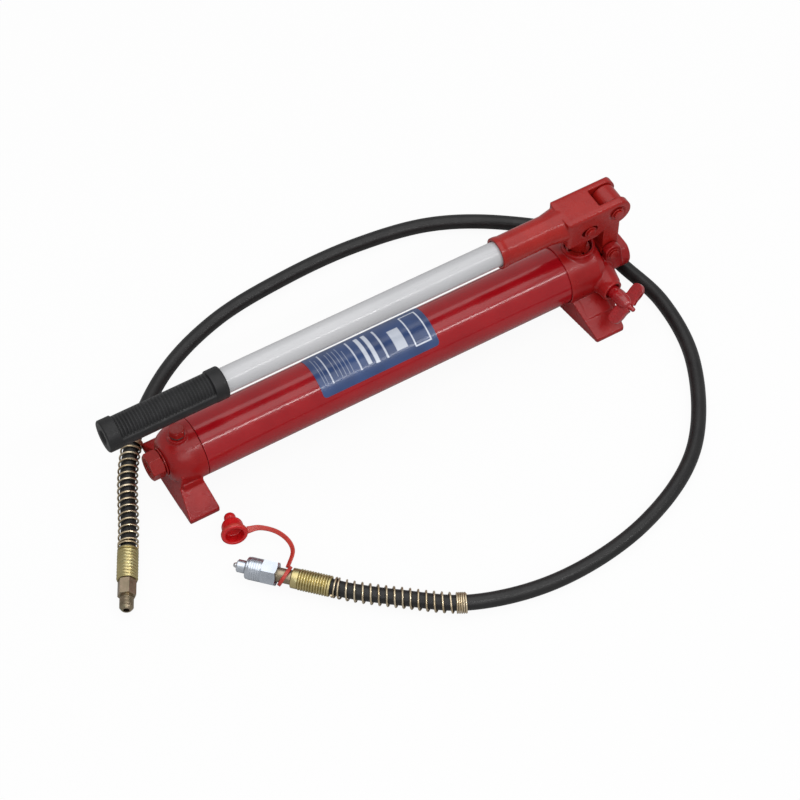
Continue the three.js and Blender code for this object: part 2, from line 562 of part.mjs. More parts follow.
function hosePath() {
  const lay = HOSE_WAY.map(([x, y], i) => at(x, y, i < HOSE_WAY.length - 2 ? HOSE_Z : SPRING_Z));
  const points = [
    onMale(MALE.ferrule + 3), onMale(MALE.end), onMale(MALE.end + 20),
    onMale(MALE.spring - 10).setZ(SPRING_Z),
    ...lay, onCoupler(COUPLER.end + 16), onCoupler(COUPLER.end), onCoupler(COUPLER.ferrule + 3),
  ];
  return new THREE.CatmullRomCurve3(points, false, 'centripetal');
}

// Part of a spring wound on the hose, from one length along it to another.
function guardSpring(path, from, to, turns) {
  const total = path.getLength();
  const frame = (t) => {
    const u = THREE.MathUtils.lerp(from, to, t) / total;
    const point = path.getPointAt(u);
    const along = path.getTangentAt(u);
    const across = along.clone().cross(Z).normalize();
    return { point, across, up: across.clone().cross(along) };
  };
  return sweep(new Coil(frame, GUARD_SPRING.coilR, turns), disc(GUARD_SPRING.wireR, 3), turns * 8);
}

function hose() {
  const path = hosePath();
  path.arcLengthDivisions = 800;
  const total = path.getLength();
  piece('hose', sweep(path, disc(HOSE_R, 8), 64), blackHose);
  const maleFrom = MALE.end - MALE.ferrule;
  piece('male_guard_spring', guardSpring(path, maleFrom, maleFrom + 122, 16), springSteel);
  const couplerEnd = total - (COUPLER.end - COUPLER.ferrule);
  piece('coupler_guard_spring', guardSpring(path, couplerEnd - 126, couplerEnd, 17), springSteel);
}

function maleEnd() {
  const { body, ferrule, end } = MALE;
  const collarEnd = ferrule - 2.3;
  const nipple = [[3, 0], [6.2, 0], [6.8, 1.5], [6.8, body], [8.6, body], [8.6, collarEnd], [3, collarEnd]];
  piece('male_nipple', turned(nipple, ROUND, onMale(0), maleAxis), yellowZinc);
  const crimp = [[4, ferrule - 2], [FERRULE_R, ferrule - 2], [FERRULE_R, end - 2], [HOSE_R + 0.4, end - 2],
    [HOSE_R + 0.4, ferrule + 2.6], [4, ferrule + 2.6]];
  piece('male_ferrule', turned(crimp, ROUND, onMale(0), maleAxis), yellowZinc);
}

function couplerEnd() {
  const { hex, neck, ferrule, end } = COUPLER;
  const crimp = [[4, ferrule], [FERRULE_R, ferrule], [FERRULE_R, end - 2], [HOSE_R + 0.4, end - 2],
    [HOSE_R + 0.4, ferrule + 2.6], [4, ferrule + 2.6]];
  piece('coupler_ferrule', turned(crimp, ROUND, onCoupler(0), couplerAxis), yellowZinc);
  const stem = [[3, neck - 6], [7, neck - 6], [7, ferrule - FIT], [3, ferrule - FIT]];
  piece('coupler_stem', turned(stem, ROUND, onCoupler(0), couplerAxis), yellowZinc);
  const profile = [[0, 3.5], [5.3, 3.5], [6.3, 4.5], [6.3, 13], [9.6, 13], [11, 14.5], [11, hex + 1],
    [0, hex + 1]];
  const nose = turned(profile, ROUND, onCoupler(0), couplerAxis);
  const bores = [
    rod(3, onCoupler(3), onCoupler(14)),
    rod(5.5, onCoupler(10), onCoupler(neck - 5)),
    rod(7.3, onCoupler(neck - 6.3), onCoupler(neck + 1)),
  ];
  const nut = hexBar(22, neck - hex, onCoupler(hex), couplerAxis);
  piece('coupler_body', carve([nose, nut], bores), clearZinc);
  const poppet = [[0, 0], [1.6, 0], [2.6, 2], [2.6, 10.6], [5, 10.6], [5, 15], [0, 15]];
  piece('coupler_poppet', turned(poppet, ROUND, onCoupler(0), couplerAxis), steel);
  const springEnds = [onCoupler(15.3), onCoupler(neck - 6.6)];
  piece('poppet_spring', straightSpring(4.2, 0.6, 6, ...springEnds), springSteel);
}

function dustCap() {
  const axis = heading(CAP.headingDeg, CAP.tiltDeg);
  const mouth = at(CAP.x, CAP.y, CAP.z);
  const cap = [[0, -28], [4.6, -27.5], [5.6, -24], [4.6, -19], [8.7, -17], [10.6, -14], [11, -5],
    [12.3, -4], [12.3, 0], [9, 0], [9, -10], [0, -10]];
  piece('dust_cap', turned(cap, ROUND, mouth, axis), redRubber);
  const { inner, outer, width, turnDeg, tiltDeg } = STRAP_LOOP;
  const loopAxis = heading(COUPLER.headingDeg + turnDeg, tiltDeg);
  const neck = onCoupler((COUPLER.neck + COUPLER.ferrule) / 2);
  const loop = ring(inner, outer, width, neck.clone().addScaledVector(loopAxis, -width / 2), loopAxis);
  const rim = mouth.clone().addScaledVector(axis, -2);
  const band = new THREE.CatmullRomCurve3([
    neck.clone().add(at(7, 7, 0)), at(-401, -134, CAP.z), at(-399, -122, CAP.z),
    at(-404, -107, CAP.z), at(-416, -95, CAP.z), rim.clone().add(at(12.8, -2, 0)),
  ]);
  const strip = sweep(band, [[-2.2, -0.8], [2.2, -0.8], [2.2, 0.8], [-2.2, 0.8]], 14);
  const boreEnd = (s) => neck.clone().addScaledVector(loopAxis, s);
  const bore = rod(inner, boreEnd(-4), boreEnd(4));
  piece('cap_strap', carve([loop, strip], [bore]), redRubber);
}

reservoir();
label();
rearCap();
tieRod();
fillerPlug();
pumpHead();
barrelAndSeals();
intake();
checkValves();
releaseValve();
plunger();
link();
leverSocket();
handle();
hose();
maleEnd();
couplerEnd();
dustCap();

export default group;
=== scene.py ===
"""Looks for a hydraulic hand pump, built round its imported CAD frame.

Shapes are drawn in millimetres in the frame's axes: X along the reservoir towards the pump head, Z up.
Places come from the frame's nodes and joints. The castings are joined from plain solids, remeshed and
smoothed, so that their corners get the soft fillets of sand casting.
"""
import json
import math

import bmesh
import bpy
import numpy as np
from mathutils import Matrix, Vector


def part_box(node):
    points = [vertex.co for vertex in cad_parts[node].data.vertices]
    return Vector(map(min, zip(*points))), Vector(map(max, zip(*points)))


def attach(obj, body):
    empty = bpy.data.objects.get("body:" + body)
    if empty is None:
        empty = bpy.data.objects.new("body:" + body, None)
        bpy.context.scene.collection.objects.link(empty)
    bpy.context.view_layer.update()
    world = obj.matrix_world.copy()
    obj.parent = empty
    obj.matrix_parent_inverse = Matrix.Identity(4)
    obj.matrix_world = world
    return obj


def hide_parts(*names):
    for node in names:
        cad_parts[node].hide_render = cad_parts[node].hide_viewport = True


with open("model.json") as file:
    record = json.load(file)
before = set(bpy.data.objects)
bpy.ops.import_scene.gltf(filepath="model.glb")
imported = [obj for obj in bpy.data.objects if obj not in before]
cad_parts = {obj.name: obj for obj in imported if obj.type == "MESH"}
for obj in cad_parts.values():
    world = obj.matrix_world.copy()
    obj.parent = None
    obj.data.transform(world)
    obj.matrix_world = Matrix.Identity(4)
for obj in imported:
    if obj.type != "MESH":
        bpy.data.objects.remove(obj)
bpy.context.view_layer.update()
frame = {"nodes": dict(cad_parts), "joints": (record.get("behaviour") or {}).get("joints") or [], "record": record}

MM = 0.001
TINY = 1e-6
X, Y, Z = Vector((1, 0, 0)), Vector((0, 1, 0)), Vector((0, 0, 1))


# ---------------- places read from the frame
def span(node):
    """Lowest and highest corner of a CAD node, in millimetres."""
    low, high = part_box(node)
    return low / MM, high / MM


def joint(name):
    return next(j for j in frame["joints"] if j["name"] == name)


def pivot(name):
    return Vector(joint(name)["pos_m"]) / MM


def direction(name):
    return Vector(joint(name)["axis"]).normalized()


GAP = 0.3
TUBE_LOW, TUBE_HIGH = span("reservoir_tube")
AXIS_Z = (TUBE_LOW.z + TUBE_HIGH.z) / 2
TUBE_R = (TUBE_HIGH.z - TUBE_LOW.z) / 2
SEAM_X = TUBE_LOW.x
NOSE_X = span("tie_rod_washer")[1].x + GAP
NUT_LOW, NUT_HIGH = span("tie_rod_nut")
FULCRUM = pivot("lever_swing")
LINK_FOOT = pivot("link_rock")
PLUNGER_LOW, PLUNGER_HIGH = span("pump_plunger")
PUMP_X = (PLUNGER_LOW.x + PLUNGER_HIGH.x) / 2
PIN_Z = PLUNGER_HIGH.z - 10
SOCKET_LOW, SOCKET_HIGH = span("handle_socket")
HANDLE_LOW, HANDLE_HIGH = span("handle_tube")
HANDLE_Z = (HANDLE_LOW.z + HANDLE_HIGH.z) / 2
HANDLE_R = (HANDLE_HIGH.z - HANDLE_LOW.z) / 2
GRIP_LOW, GRIP_HIGH = span("handle_grip")
HEAD_HIGH = span("pump_head")[1]
FILLER_X = pivot("filler_turn").x
FILLER_LOW, FILLER_HIGH = span("filler_plug")
FILLER_SEAT = span("filler_seal")[0].z - GAP
RELEASE = pivot("release_turn")
RELEASE_AXIS = direction("release_turn")
COUPLER_AXIS = direction("poppet_push")
NECK = pivot("cap_swing")
NECK_S = 50.0                      # distance of the coupler's neck from its tip
COUPLER = NECK - NECK_S * COUPLER_AXIS
MALE = Vector((-565, -111, 10.5))


# Driving sizes of the castings and of the hose, the same as in the CAD.
HEAD_FOOT = {"x": 0, "tip": 16, "root": 25, "width": 67, "top": 27, "top_z": 26, "taper": 2}
REAR_FOOT = {"x": -451, "tip": 16, "root": 17, "width": 52, "top": 27, "top_z": 25, "taper": 8}
FOOT_PAD = 5
BOSS_TOP = 77
OUTLET_Z = 38
RELEASE_FACE = 31
HOSE_R = 7.5
HOSE_Z = 8
SPRING_Z = 10.6
FERRULE_R = 10.3
HOSE_WAY = [
    (-410, 113), (-335, 146), (-250, 158), (-165, 158), (-85, 143), (-18, 106), (42, 48), (58, -12),
    (65, -62), (51, -137), (-9, -227), (-96, -273), (-200, -285), (-285, -265.5), (-340, -227),
]
CAP_MOUTH = Vector((-439.9, -91.4, 12.9))
CAP_TILT = 12


def heading(turn, tilt=0.0):
    """Direction turned from +X towards +Y, then tilted up, in degrees."""
    flat = math.cos(math.radians(tilt))
    turn = math.radians(turn)
    return Vector((flat * math.cos(turn), flat * math.sin(turn), math.sin(math.radians(tilt))))


MALE_AXIS = heading(61.7)
CAP_AXIS = heading(254, CAP_TILT)


def on_male(s):
    return MALE + MALE_AXIS * s


def on_coupler(s):
    return COUPLER + COUPLER_AXIS * s


def on_release(s):
    return RELEASE + RELEASE_AXIS * s


# ---------------- mesh helpers
def linked(name, data):
    obj = bpy.data.objects.new(name, data)
    bpy.context.scene.collection.objects.link(obj)
    return obj


def mesh_object(name, verts, faces):
    mesh = bpy.data.meshes.new(name)
    mesh.from_pydata([tuple(v) for v in np.asarray(verts, float) * MM], [], faces)
    body = bmesh.new()
    body.from_mesh(mesh)
    bmesh.ops.remove_doubles(body, verts=body.verts, dist=1e-7)
    bmesh.ops.recalc_face_normals(body, faces=body.faces)
    body.to_mesh(mesh)
    body.free()
    return linked(name, mesh)


def cross_axes(along):
    """Two directions square to `along`: the second is as near to upright as it can be."""
    across = X.copy() if abs(along.z) > 0.99 else along.cross(Z).normalized()
    return across, across.cross(along).normalized()


def lathe(profile, start, axis, segments=96, phase=0.0):
    """Turned shape from (radius, height) pairs. A profile that starts off the axis closes on itself."""
    along = Vector(axis).normalized()
    across, up = cross_axes(along)
    loop = list(profile)
    if loop[0][0] > TINY:
        loop.append(loop[0])
    verts, faces, rings = [], [], []
    for radius, height in loop:
        centre = Vector(start) + along * height
        first = len(verts)
        if radius <= TINY:
            verts.append(centre)
            rings.append([first])
            continue
        for i in range(segments):
            angle = 2 * math.pi * i / segments + phase
            verts.append(centre + across * radius * math.cos(angle) + up * radius * math.sin(angle))
        rings.append(list(range(first, first + segments)))
    for low, high in zip(rings, rings[1:]):
        for i in range(segments):
            j = (i + 1) % segments
            if len(low) == 1 and len(high) == 1:
                continue
            if len(low) == 1:
                faces.append((low[0], high[i], high[j]))
            elif len(high) == 1:
                faces.append((low[i], low[j], high[0]))
            else:
                faces.append((low[i], low[j], high[j], high[i]))
    return mesh_object("lathe", verts, faces)


def rounded(profile, radius, steps=4, closed=False):
    """The same outline with its corners rounded, each by no more than its short side allows."""
    points = [Vector(p) for p in profile]
    count = len(points)
    out = [] if closed else [tuple(points[0])]
    for i in range(0 if closed else 1, count if closed else count - 1):
        corner, before, after = points[i], points[i - 1], points[(i + 1) % count]
        a, b = before - corner, after - corner
        reach = min(radius, 0.45 * a.length, 0.45 * b.length)
        if reach < TINY or abs(a.normalized().cross(b.normalized())) < 0.02:
            out.append(tuple(corner))
            continue
        start, end = corner + a.normalized() * reach, corner + b.normalized() * reach
        for k in range(steps + 1):
            t = k / steps
            out.append(tuple(start * (1 - t) ** 2 + corner * 2 * t * (1 - t) + end * t * t))
    if not closed:
        out.append(tuple(points[-1]))
    return out


def rod(radius, start, end, segments=64, chamfer=0.0):
    start, end = Vector(start), Vector(end)
    length = (end - start).length
    profile = [(0, 0), (radius - chamfer, 0), (radius, chamfer), (radius, length - chamfer),
               (radius - chamfer, length), (0, length)]
    if chamfer == 0:
        profile = [(0, 0), (radius, 0), (radius, length), (0, length)]
    return lathe(profile, start, end - start, segments)


def ring(inner, outer, length, start, axis, segments=96, soft=0.4):
    profile = [(inner, 0), (outer, 0), (outer, length), (inner, length)]
    return lathe(rounded(profile, soft, closed=True), start, axis, segments)


def prism(axis, outline, low, high):
    """Flat outline pushed along an axis. Its points are (y, z), (x, z) or (x, y)."""
    place = {
        "x": lambda u, v, w: (w, u, v),
        "y": lambda u, v, w: (u, w, v),
        "z": lambda u, v, w: (u, v, w),
    }[axis]
    count = len(outline)
    verts = [place(u, v, low) for u, v in outline] + [place(u, v, high) for u, v in outline]
    faces = [tuple(range(count)), tuple(range(2 * count - 1, count - 1, -1))]
    faces += [(i, (i + 1) % count, count + (i + 1) % count, count + i) for i in range(count)]
    return mesh_object("prism", verts, faces)


def crossways(radius, x, z, half, segments=64):
    """Bar through the part from one side to the other."""
    return rod(radius, (x, -half, z), (x, half, z), segments)


def block(x0, x1, y0, y1, z0, z1):
    return prism("z", [(x0, y0), (x1, y0), (x1, y1), (x0, y1)], z0, z1)


def arc(cx, cy, radius, a0, a1, steps=24):
    angles = [math.radians(a0 + (a1 - a0) * i / steps) for i in range(steps + 1)]
    return [(cx + radius * math.cos(a), cy + radius * math.sin(a)) for a in angles]


def bake(obj):
    """Makes the object's modifiers part of its mesh."""
    graph = bpy.context.evaluated_depsgraph_get()
    graph.update()
    mesh = bpy.data.meshes.new_from_object(obj.evaluated_get(graph))
    obj.modifiers.clear()
    old, obj.data = obj.data, mesh
    bpy.data.meshes.remove(old)
    return obj


def boolean(obj, other, operation):
    modifier = obj.modifiers.new("boolean", "BOOLEAN")
    modifier.operation = operation
    modifier.solver = "MANIFOLD"
    modifier.object = other
    bake(obj)
    bpy.data.objects.remove(other)
    return obj


def carve(add, cut=(), keep=()):
    """Joins the shapes in `add`, cuts those in `cut` away, and keeps what lies inside those in `keep`."""
    obj = add[0]
    for other in add[1:]:
        boolean(obj, other, "UNION")
    for other in cut:
        boolean(obj, other, "DIFFERENCE")
    for other in keep:
        boolean(obj, other, "INTERSECT")
    return obj


def soften(obj, voxel, rounds):
    """Even mesh of the given voxel size, with corners rounded by smoothing."""
    remesh = obj.modifiers.new("remesh", "REMESH")
    remesh.mode = "VOXEL"
    remesh.voxel_size = voxel * MM
    smooth = obj.modifiers.new("smooth", "SMOOTH")
    smooth.factor = 0.5
    smooth.iterations = rounds
    return bake(obj)


def transport(points):
    """Direction and two square directions at each point of a line, without twist."""
    points = np.asarray(points, float)
    along = np.gradient(points, axis=0)
    along /= np.linalg.norm(along, axis=1)[:, None]
    across = np.zeros_like(points)
    seed = np.cross(along[0], [0, 0, 1])
    if np.linalg.norm(seed) < 0.1:
        seed = np.cross(along[0], [1, 0, 0])
    across[0] = seed / np.linalg.norm(seed)
    for i in range(1, len(points)):
        step = across[i - 1] - along[i] * (across[i - 1] @ along[i])
        across[i] = step / np.linalg.norm(step)
    return along, across, np.cross(across, along)


def sweep(points, outline, swell=None):
    """Outline carried along a line. `swell` scales it at each point."""
    points = np.asarray(points, float)
    _, across, up = transport(points)
    outline = np.asarray(outline, float)
    scale = np.ones(len(points)) if swell is None else np.asarray(swell, float)
    verts = (points[:, None] + scale[:, None, None] * (
        outline[None, :, 0, None] * across[:, None] + outline[None, :, 1, None] * up[:, None]))
    count = len(outline)
    faces = [tuple(range(count)), tuple((len(points) - 1) * count + i for i in range(count))]
    for k in range(len(points) - 1):
        for i in range(count):
            j = (i + 1) % count
            faces.append((k * count + i, k * count + j, (k + 1) * count + j, (k + 1) * count + i))
    return mesh_object("sweep", verts.reshape(-1, 3), faces)


def disc(radius, sides):
    return arc(0, 0, radius, 0, 360 - 360 / sides, sides - 1)


# ---------------- procedural materials
class Finish:
    """A node material under construction. Textures use the object's own coordinates, in metres."""

    def __init__(self, name):
        self.material = bpy.data.materials.new(name)
        self.material.use_nodes = True
        self.tree = self.material.node_tree
        self.shader = self.tree.nodes["Principled BSDF"]
        self.place = self.node("ShaderNodeTexCoord").outputs["Object"]

    def node(self, kind, **settings):
        made = self.tree.nodes.new(kind)
        for key, value in settings.items():
            setattr(made, key, value)
        return made

    def link(self, source, target):
        self.tree.links.new(source, target)

    def feed(self, socket, value):
        if hasattr(value, "is_output"):
            self.link(value, socket)
        elif isinstance(value, (tuple, list)) and len(value) == 3 and socket.type == "RGBA":
            socket.default_value = (*value, 1)
        else:
            socket.default_value = value

    def set(self, **inputs):
        for key, value in inputs.items():
            self.feed(self.shader.inputs[key.replace("_", " ")], value)
        return self

    def noise(self, size_mm, detail=3.0, roughness=0.5, stretch=(1, 1, 1)):
        mapping = self.node("ShaderNodeMapping")
        mapping.inputs["Scale"].default_value = stretch
        self.link(self.place, mapping.inputs["Vector"])
        made = self.node("ShaderNodeTexNoise")
        self.link(mapping.outputs["Vector"], made.inputs["Vector"])
        made.inputs["Scale"].default_value = 1 / (size_mm * MM)
        made.inputs["Detail"].default_value = detail
        made.inputs["Roughness"].default_value = roughness
        return made.outputs["Fac"]

    def cells(self, size_mm):
        made = self.node("ShaderNodeTexVoronoi", feature="SMOOTH_F1")
        self.link(self.place, made.inputs["Vector"])
        made.inputs["Scale"].default_value = 1 / (size_mm * MM)
        return made.outputs["Distance"]

    def math(self, operation, a, b=0.0, c=0.0):
        made = self.node("ShaderNodeMath", operation=operation)
        for socket, value in zip(made.inputs, (a, b, c)):
            self.feed(socket, value)
        return made.outputs[0]

    def scale(self, value, low, high, out_low, out_high):
        made = self.node("ShaderNodeMapRange")
        for key, v in zip(("Value", "From Min", "From Max", "To Min", "To Max"),
                          (value, low, high, out_low, out_high)):
            self.feed(made.inputs[key], v)
        return made.outputs["Result"]

    def mix(self, share, a, b):
        made = self.node("ShaderNodeMix", data_type="RGBA")
        self.feed(made.inputs["Factor"], share)
        colours = [s for s in made.inputs if s.type == "RGBA"]
        self.feed(colours[0], a)
        self.feed(colours[1], b)
        return next(s for s in made.outputs if s.type == "RGBA")

    def bump(self, height, depth_mm, strength=1.0, under=None):
        made = self.node("ShaderNodeBump")
        made.inputs["Strength"].default_value = strength
        made.inputs["Distance"].default_value = depth_mm * MM
        self.link(height, made.inputs["Height"])
        if under is not None:
            self.link(under, made.inputs["Normal"])
        return made.outputs["Normal"]

    def edges(self):
        """Bright on outward corners, dark in hollows."""
        return self.node("ShaderNodeNewGeometry").outputs["Pointiness"]


def enamel(name, light, deep, grain_mm, grain_depth, roughness, coat=0.12):
    """Gloss paint, with painted shade in its hollows. The grain below it is sand casting, or next to nothing on
    rolled tube.
    """
    f = Finish(name)
    cloud = f.noise(38, 4, 0.6)
    colour = f.mix(f.scale(cloud, 0.35, 0.65, 0, 1), deep, light)
    # Painted shade: hollows and creases, found by pointiness, are darkened towards a third of the deep red.
    painted_shade = f.scale(f.edges(), 0.43, 0.5, 1, 0)
    colour = f.mix(f.math("MULTIPLY", painted_shade, 0.55), colour, tuple(c * 0.35 for c in deep))
    coarse = f.bump(f.noise(grain_mm * 4, 3, 0.55), grain_depth * 2.2, 0.8)
    fine = f.bump(f.noise(grain_mm, 4, 0.65), grain_depth, 0.8, coarse)
    peel = f.bump(f.noise(1.1, 2, 0.4), 0.012, 0.5, fine)
    rough = f.scale(f.noise(9, 4, 0.6), 0.3, 0.7, roughness - 0.05, roughness + 0.07)
    f.set(Base_Color=colour, Roughness=rough, Coat_Weight=coat, Coat_Roughness=0.09, IOR=1.42,
          Specular_IOR_Level=0.4)
    f.link(fine, f.shader.inputs["Normal"])
    f.link(peel, f.shader.inputs["Coat Normal"])
    return f.material


def cast_enamel():
    return enamel("cast_enamel", (0.31, 0.007, 0.007), (0.23, 0.002, 0.003), 1.3, 0.07, 0.3)


def tube_enamel():
    return enamel("tube_enamel", (0.31, 0.004, 0.008), (0.27, 0.002, 0.006), 2.5, 0.006, 0.2, 0.35)


def forged_enamel():
    return enamel("forged_enamel", (0.30, 0.010, 0.007), (0.24, 0.005, 0.004), 1.6, 0.035, 0.27)


def white_enamel():
    f = Finish("white_enamel")
    cloud = f.noise(50, 3, 0.5, (0.3, 1, 1))
    colour = f.mix(f.scale(cloud, 0.35, 0.65, 0, 1), (0.41, 0.412, 0.425), (0.47, 0.472, 0.485))
    scuff = f.noise(3.5, 5, 0.7, (0.15, 1, 1))
    colour = f.mix(f.scale(scuff, 0.66, 0.74, 0, 0.35), colour, (0.34, 0.34, 0.35))
    peel = f.bump(f.noise(1.6, 2, 0.5), 0.01, 0.6)
    rough = f.scale(scuff, 0.3, 0.75, 0.24, 0.42)
    f.set(Base_Color=colour, Roughness=rough, Coat_Weight=0.35, Coat_Roughness=0.12)
    f.link(peel, f.shader.inputs["Normal"])
    return f.material


def grip_vinyl():
    f = Finish("grip_vinyl")
    cloud = f.noise(14, 4, 0.6)
    colour = f.mix(f.scale(cloud, 0.3, 0.7, 0, 1), (0.008, 0.008, 0.0085), (0.014, 0.014, 0.015))
    # Painted highlight: outward corners and rib crests, found by pointiness, are lightened towards a pale grey.
    crest_highlight = f.scale(f.edges(), 0.5, 0.58, 0, 0.5)
    colour = f.mix(crest_highlight, colour, (0.032, 0.032, 0.034))
    skin = f.bump(f.noise(0.5, 3, 0.6), 0.03, 0.7)
    rough = f.scale(f.noise(5, 4, 0.6), 0.3, 0.7, 0.38, 0.58)
    f.set(Base_Color=colour, Roughness=rough, Specular_IOR_Level=0.28)
    f.link(skin, f.shader.inputs["Normal"])
    return f.material


def hose_rubber():
    """Smooth rubber cover with the faint weave of the braid and of its curing wrap."""
    f = Finish("hose_rubber")
    cloud = f.noise(22, 4, 0.6)
    colour = f.mix(f.scale(cloud, 0.3, 0.7, 0, 1), (0.006, 0.006, 0.0065), (0.011, 0.0105, 0.0105))
    weave = f.bump(f.cells(1.1), 0.06, 0.5)
    skin = f.bump(f.noise(0.35, 2, 0.5), 0.012, 0.6, weave)
    rough = f.scale(f.noise(7, 4, 0.6), 0.3, 0.7, 0.34, 0.5)
    f.set(Base_Color=colour, Roughness=rough, Specular_IOR_Level=0.35)
    f.link(skin, f.shader.inputs["Normal"])
    return f.material


def metal(name, light, deep, rough_low, rough_high, patch_mm=7.0, stain=None, groove=0.55):
    """Bare or plated metal with patchy colour, fine scratches, and painted shade in its hollows."""
    f = Finish(name)
    cloud = f.noise(patch_mm, 5, 0.62)
    colour = f.mix(f.scale(cloud, 0.36, 0.64, 0, 1), deep, light)
    if stain is not None:
        colour = f.mix(f.scale(f.noise(patch_mm * 0.7, 4, 0.7), 0.56, 0.68, 0, 0.6), colour, stain)
    # Painted shade: hollows and creases, found by pointiness, darken towards 12 per cent of the deep colour;
    # `groove` sets how strongly.
    painted_shade = f.scale(f.edges(), 0.42, 0.5, groove, 0)
    colour = f.mix(painted_shade, colour, tuple(c * 0.12 for c in deep))
    fine = f.bump(f.noise(0.5, 2, 0.5), 0.003, 0.5)
    rough = f.scale(f.noise(4, 4, 0.6), 0.3, 0.7, rough_low, rough_high)
    f.set(Base_Color=colour, Roughness=rough, Metallic=1.0)
    f.link(fine, f.shader.inputs["Normal"])
    return f.material


def yellow_zinc():
    return metal("yellow_zinc", (0.58, 0.49, 0.25), (0.44, 0.37, 0.17), 0.24, 0.36, 12, (0.40, 0.42, 0.26))


def dull_zinc():
    return metal("dull_zinc", (0.36, 0.28, 0.20), (0.25, 0.21, 0.14), 0.28, 0.42, 11, (0.20, 0.23, 0.14))


def clear_zinc():
    return metal("clear_zinc", (0.60, 0.64, 0.70), (0.48, 0.52, 0.58), 0.22, 0.32, 16, (0.46, 0.52, 0.60))


def spring_wire():
    return metal("spring_wire", (0.68, 0.58, 0.42), (0.46, 0.36, 0.22), 0.22, 0.34, 22)


def bright_steel():
    return metal("bright_steel", (0.62, 0.63, 0.65), (0.48, 0.49, 0.51), 0.2, 0.34, 8)


def shade_darkened_steel():
    # Painted shade: steel darkened to a deep grey-brown, for the plunger rod that stands in shade under the lever.
    return metal("shade_darkened_steel", (0.20, 0.17, 0.15), (0.10, 0.08, 0.07), 0.28, 0.45, 6)


def soft_plastic(name, light, deep, rough_low, rough_high, grain=0.012):
    f = Finish(name)
    cloud = f.noise(8, 4, 0.6)
    colour = f.mix(f.scale(cloud, 0.35, 0.65, 0, 1), deep, light)
    skin = f.bump(f.noise(0.7, 3, 0.55), grain, 0.7)
    rough = f.scale(f.noise(3, 4, 0.6), 0.3, 0.7, rough_low, rough_high)
    f.set(Base_Color=colour, Roughness=rough, Specular_IOR_Level=0.55)
    f.link(skin, f.shader.inputs["Normal"])
    return f


def knob_lacquer():
    f = soft_plastic("knob_lacquer", (0.30, 0.001, 0.004), (0.23, 0.0005, 0.003), 0.22, 0.34, 0.02)
    f.set(Coat_Weight=0.3)
    return f.material


def red_vinyl():
    f = soft_plastic("red_vinyl", (0.54, 0.004, 0.006), (0.44, 0.002, 0.004), 0.34, 0.46)
    f.set(Subsurface_Weight=0.08, Subsurface_Radius=(0.004, 0.001, 0.001), Coat_Weight=0.1)
    return f.material


def strap_vinyl():
    f = soft_plastic("strap_vinyl", (0.46, 0.030, 0.016), (0.36, 0.016, 0.010), 0.34, 0.48)
    f.set(Subsurface_Weight=0.08, Subsurface_Radius=(0.004, 0.001, 0.001))
    return f.material


def seal_rubber():
    return soft_plastic("seal_rubber", (0.020, 0.020, 0.020), (0.010, 0.010, 0.010), 0.45, 0.6).material


def ptfe():
    return soft_plastic("ptfe", (0.80, 0.80, 0.78), (0.70, 0.70, 0.69), 0.4, 0.55).material


def label_film():
    """Blue film with plain pale bars and one blank panel. Its UV map runs in millimetres."""
    f = Finish("label_film")
    uv = f.node("ShaderNodeSeparateXYZ")
    f.link(f.node("ShaderNodeUVMap", uv_map="film").outputs["UV"], uv.inputs["Vector"])
    u, v = uv.outputs["X"], uv.outputs["Y"]

    def inside(u0, u1, v0, v1, edge=0.35):
        """1 inside a rectangle, falling to 0 over `edge` millimetres."""
        sides = []
        for value, low, high in ((u, u0, u1), (v, v0, v1)):
            offset = f.math("ABSOLUTE", f.math("SUBTRACT", value, (low + high) / 2))
            sides.append(f.scale(offset, (high - low) / 2 - edge, (high - low) / 2 + edge, 1, 0))
        return f.math("MULTIPLY", *sides)

    cloud = f.noise(30, 3, 0.5)
    colour = f.mix(f.scale(cloud, 0.35, 0.65, 0, 1), (0.020, 0.045, 0.135), (0.026, 0.060, 0.175))
    pale = (0.62, 0.66, 0.74)
    width, height = LABEL["length"], LABEL["girth"]
    frame_line = f.math("SUBTRACT", inside(width - 24, width - 6, 8, height - 10),
                        inside(width - 22.6, width - 7.4, 9.4, height - 11.4))
    panel = inside(width - 43, width - 31, 12, height - 22)
    colour = f.mix(frame_line, colour, pale)
    colour = f.mix(panel, colour, (0.50, 0.54, 0.62))
    for x, low, high, thick, strength in LABEL["bars"]:
        bar = inside(x, x + thick, low, high)
        colour = f.mix(f.math("MULTIPLY", bar, strength), colour, pale)
    skin = f.bump(f.noise(2.2, 3, 0.5), 0.01, 0.6)
    f.set(Base_Color=colour, Roughness=0.3, Coat_Weight=0.2, Coat_Roughness=0.12)
    f.link(skin, f.shader.inputs["Normal"])
    return f.material


# ---------------- putting a piece in place
PAINTS = {}


def paint(obj, finish, angle=35):
    """Gives the piece its material, made once, and smooths the shading over soft edges."""
    if finish not in PAINTS:
        PAINTS[finish] = finish()
    obj.data.materials.clear()
    obj.data.materials.append(PAINTS[finish])
    obj.data.shade_smooth()
    obj.data.set_sharp_from_angle(angle=math.radians(angle))
    return obj


def place(obj, name, body, slot, finish, *nodes, angle=35):
    """Names a finished shape, paints it, and lets it ride on a body in place of CAD nodes."""
    obj.name = name
    obj.data.name = name
    paint(obj, finish, angle)
    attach(obj, body)
    if nodes:
        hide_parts(*nodes)
    return obj


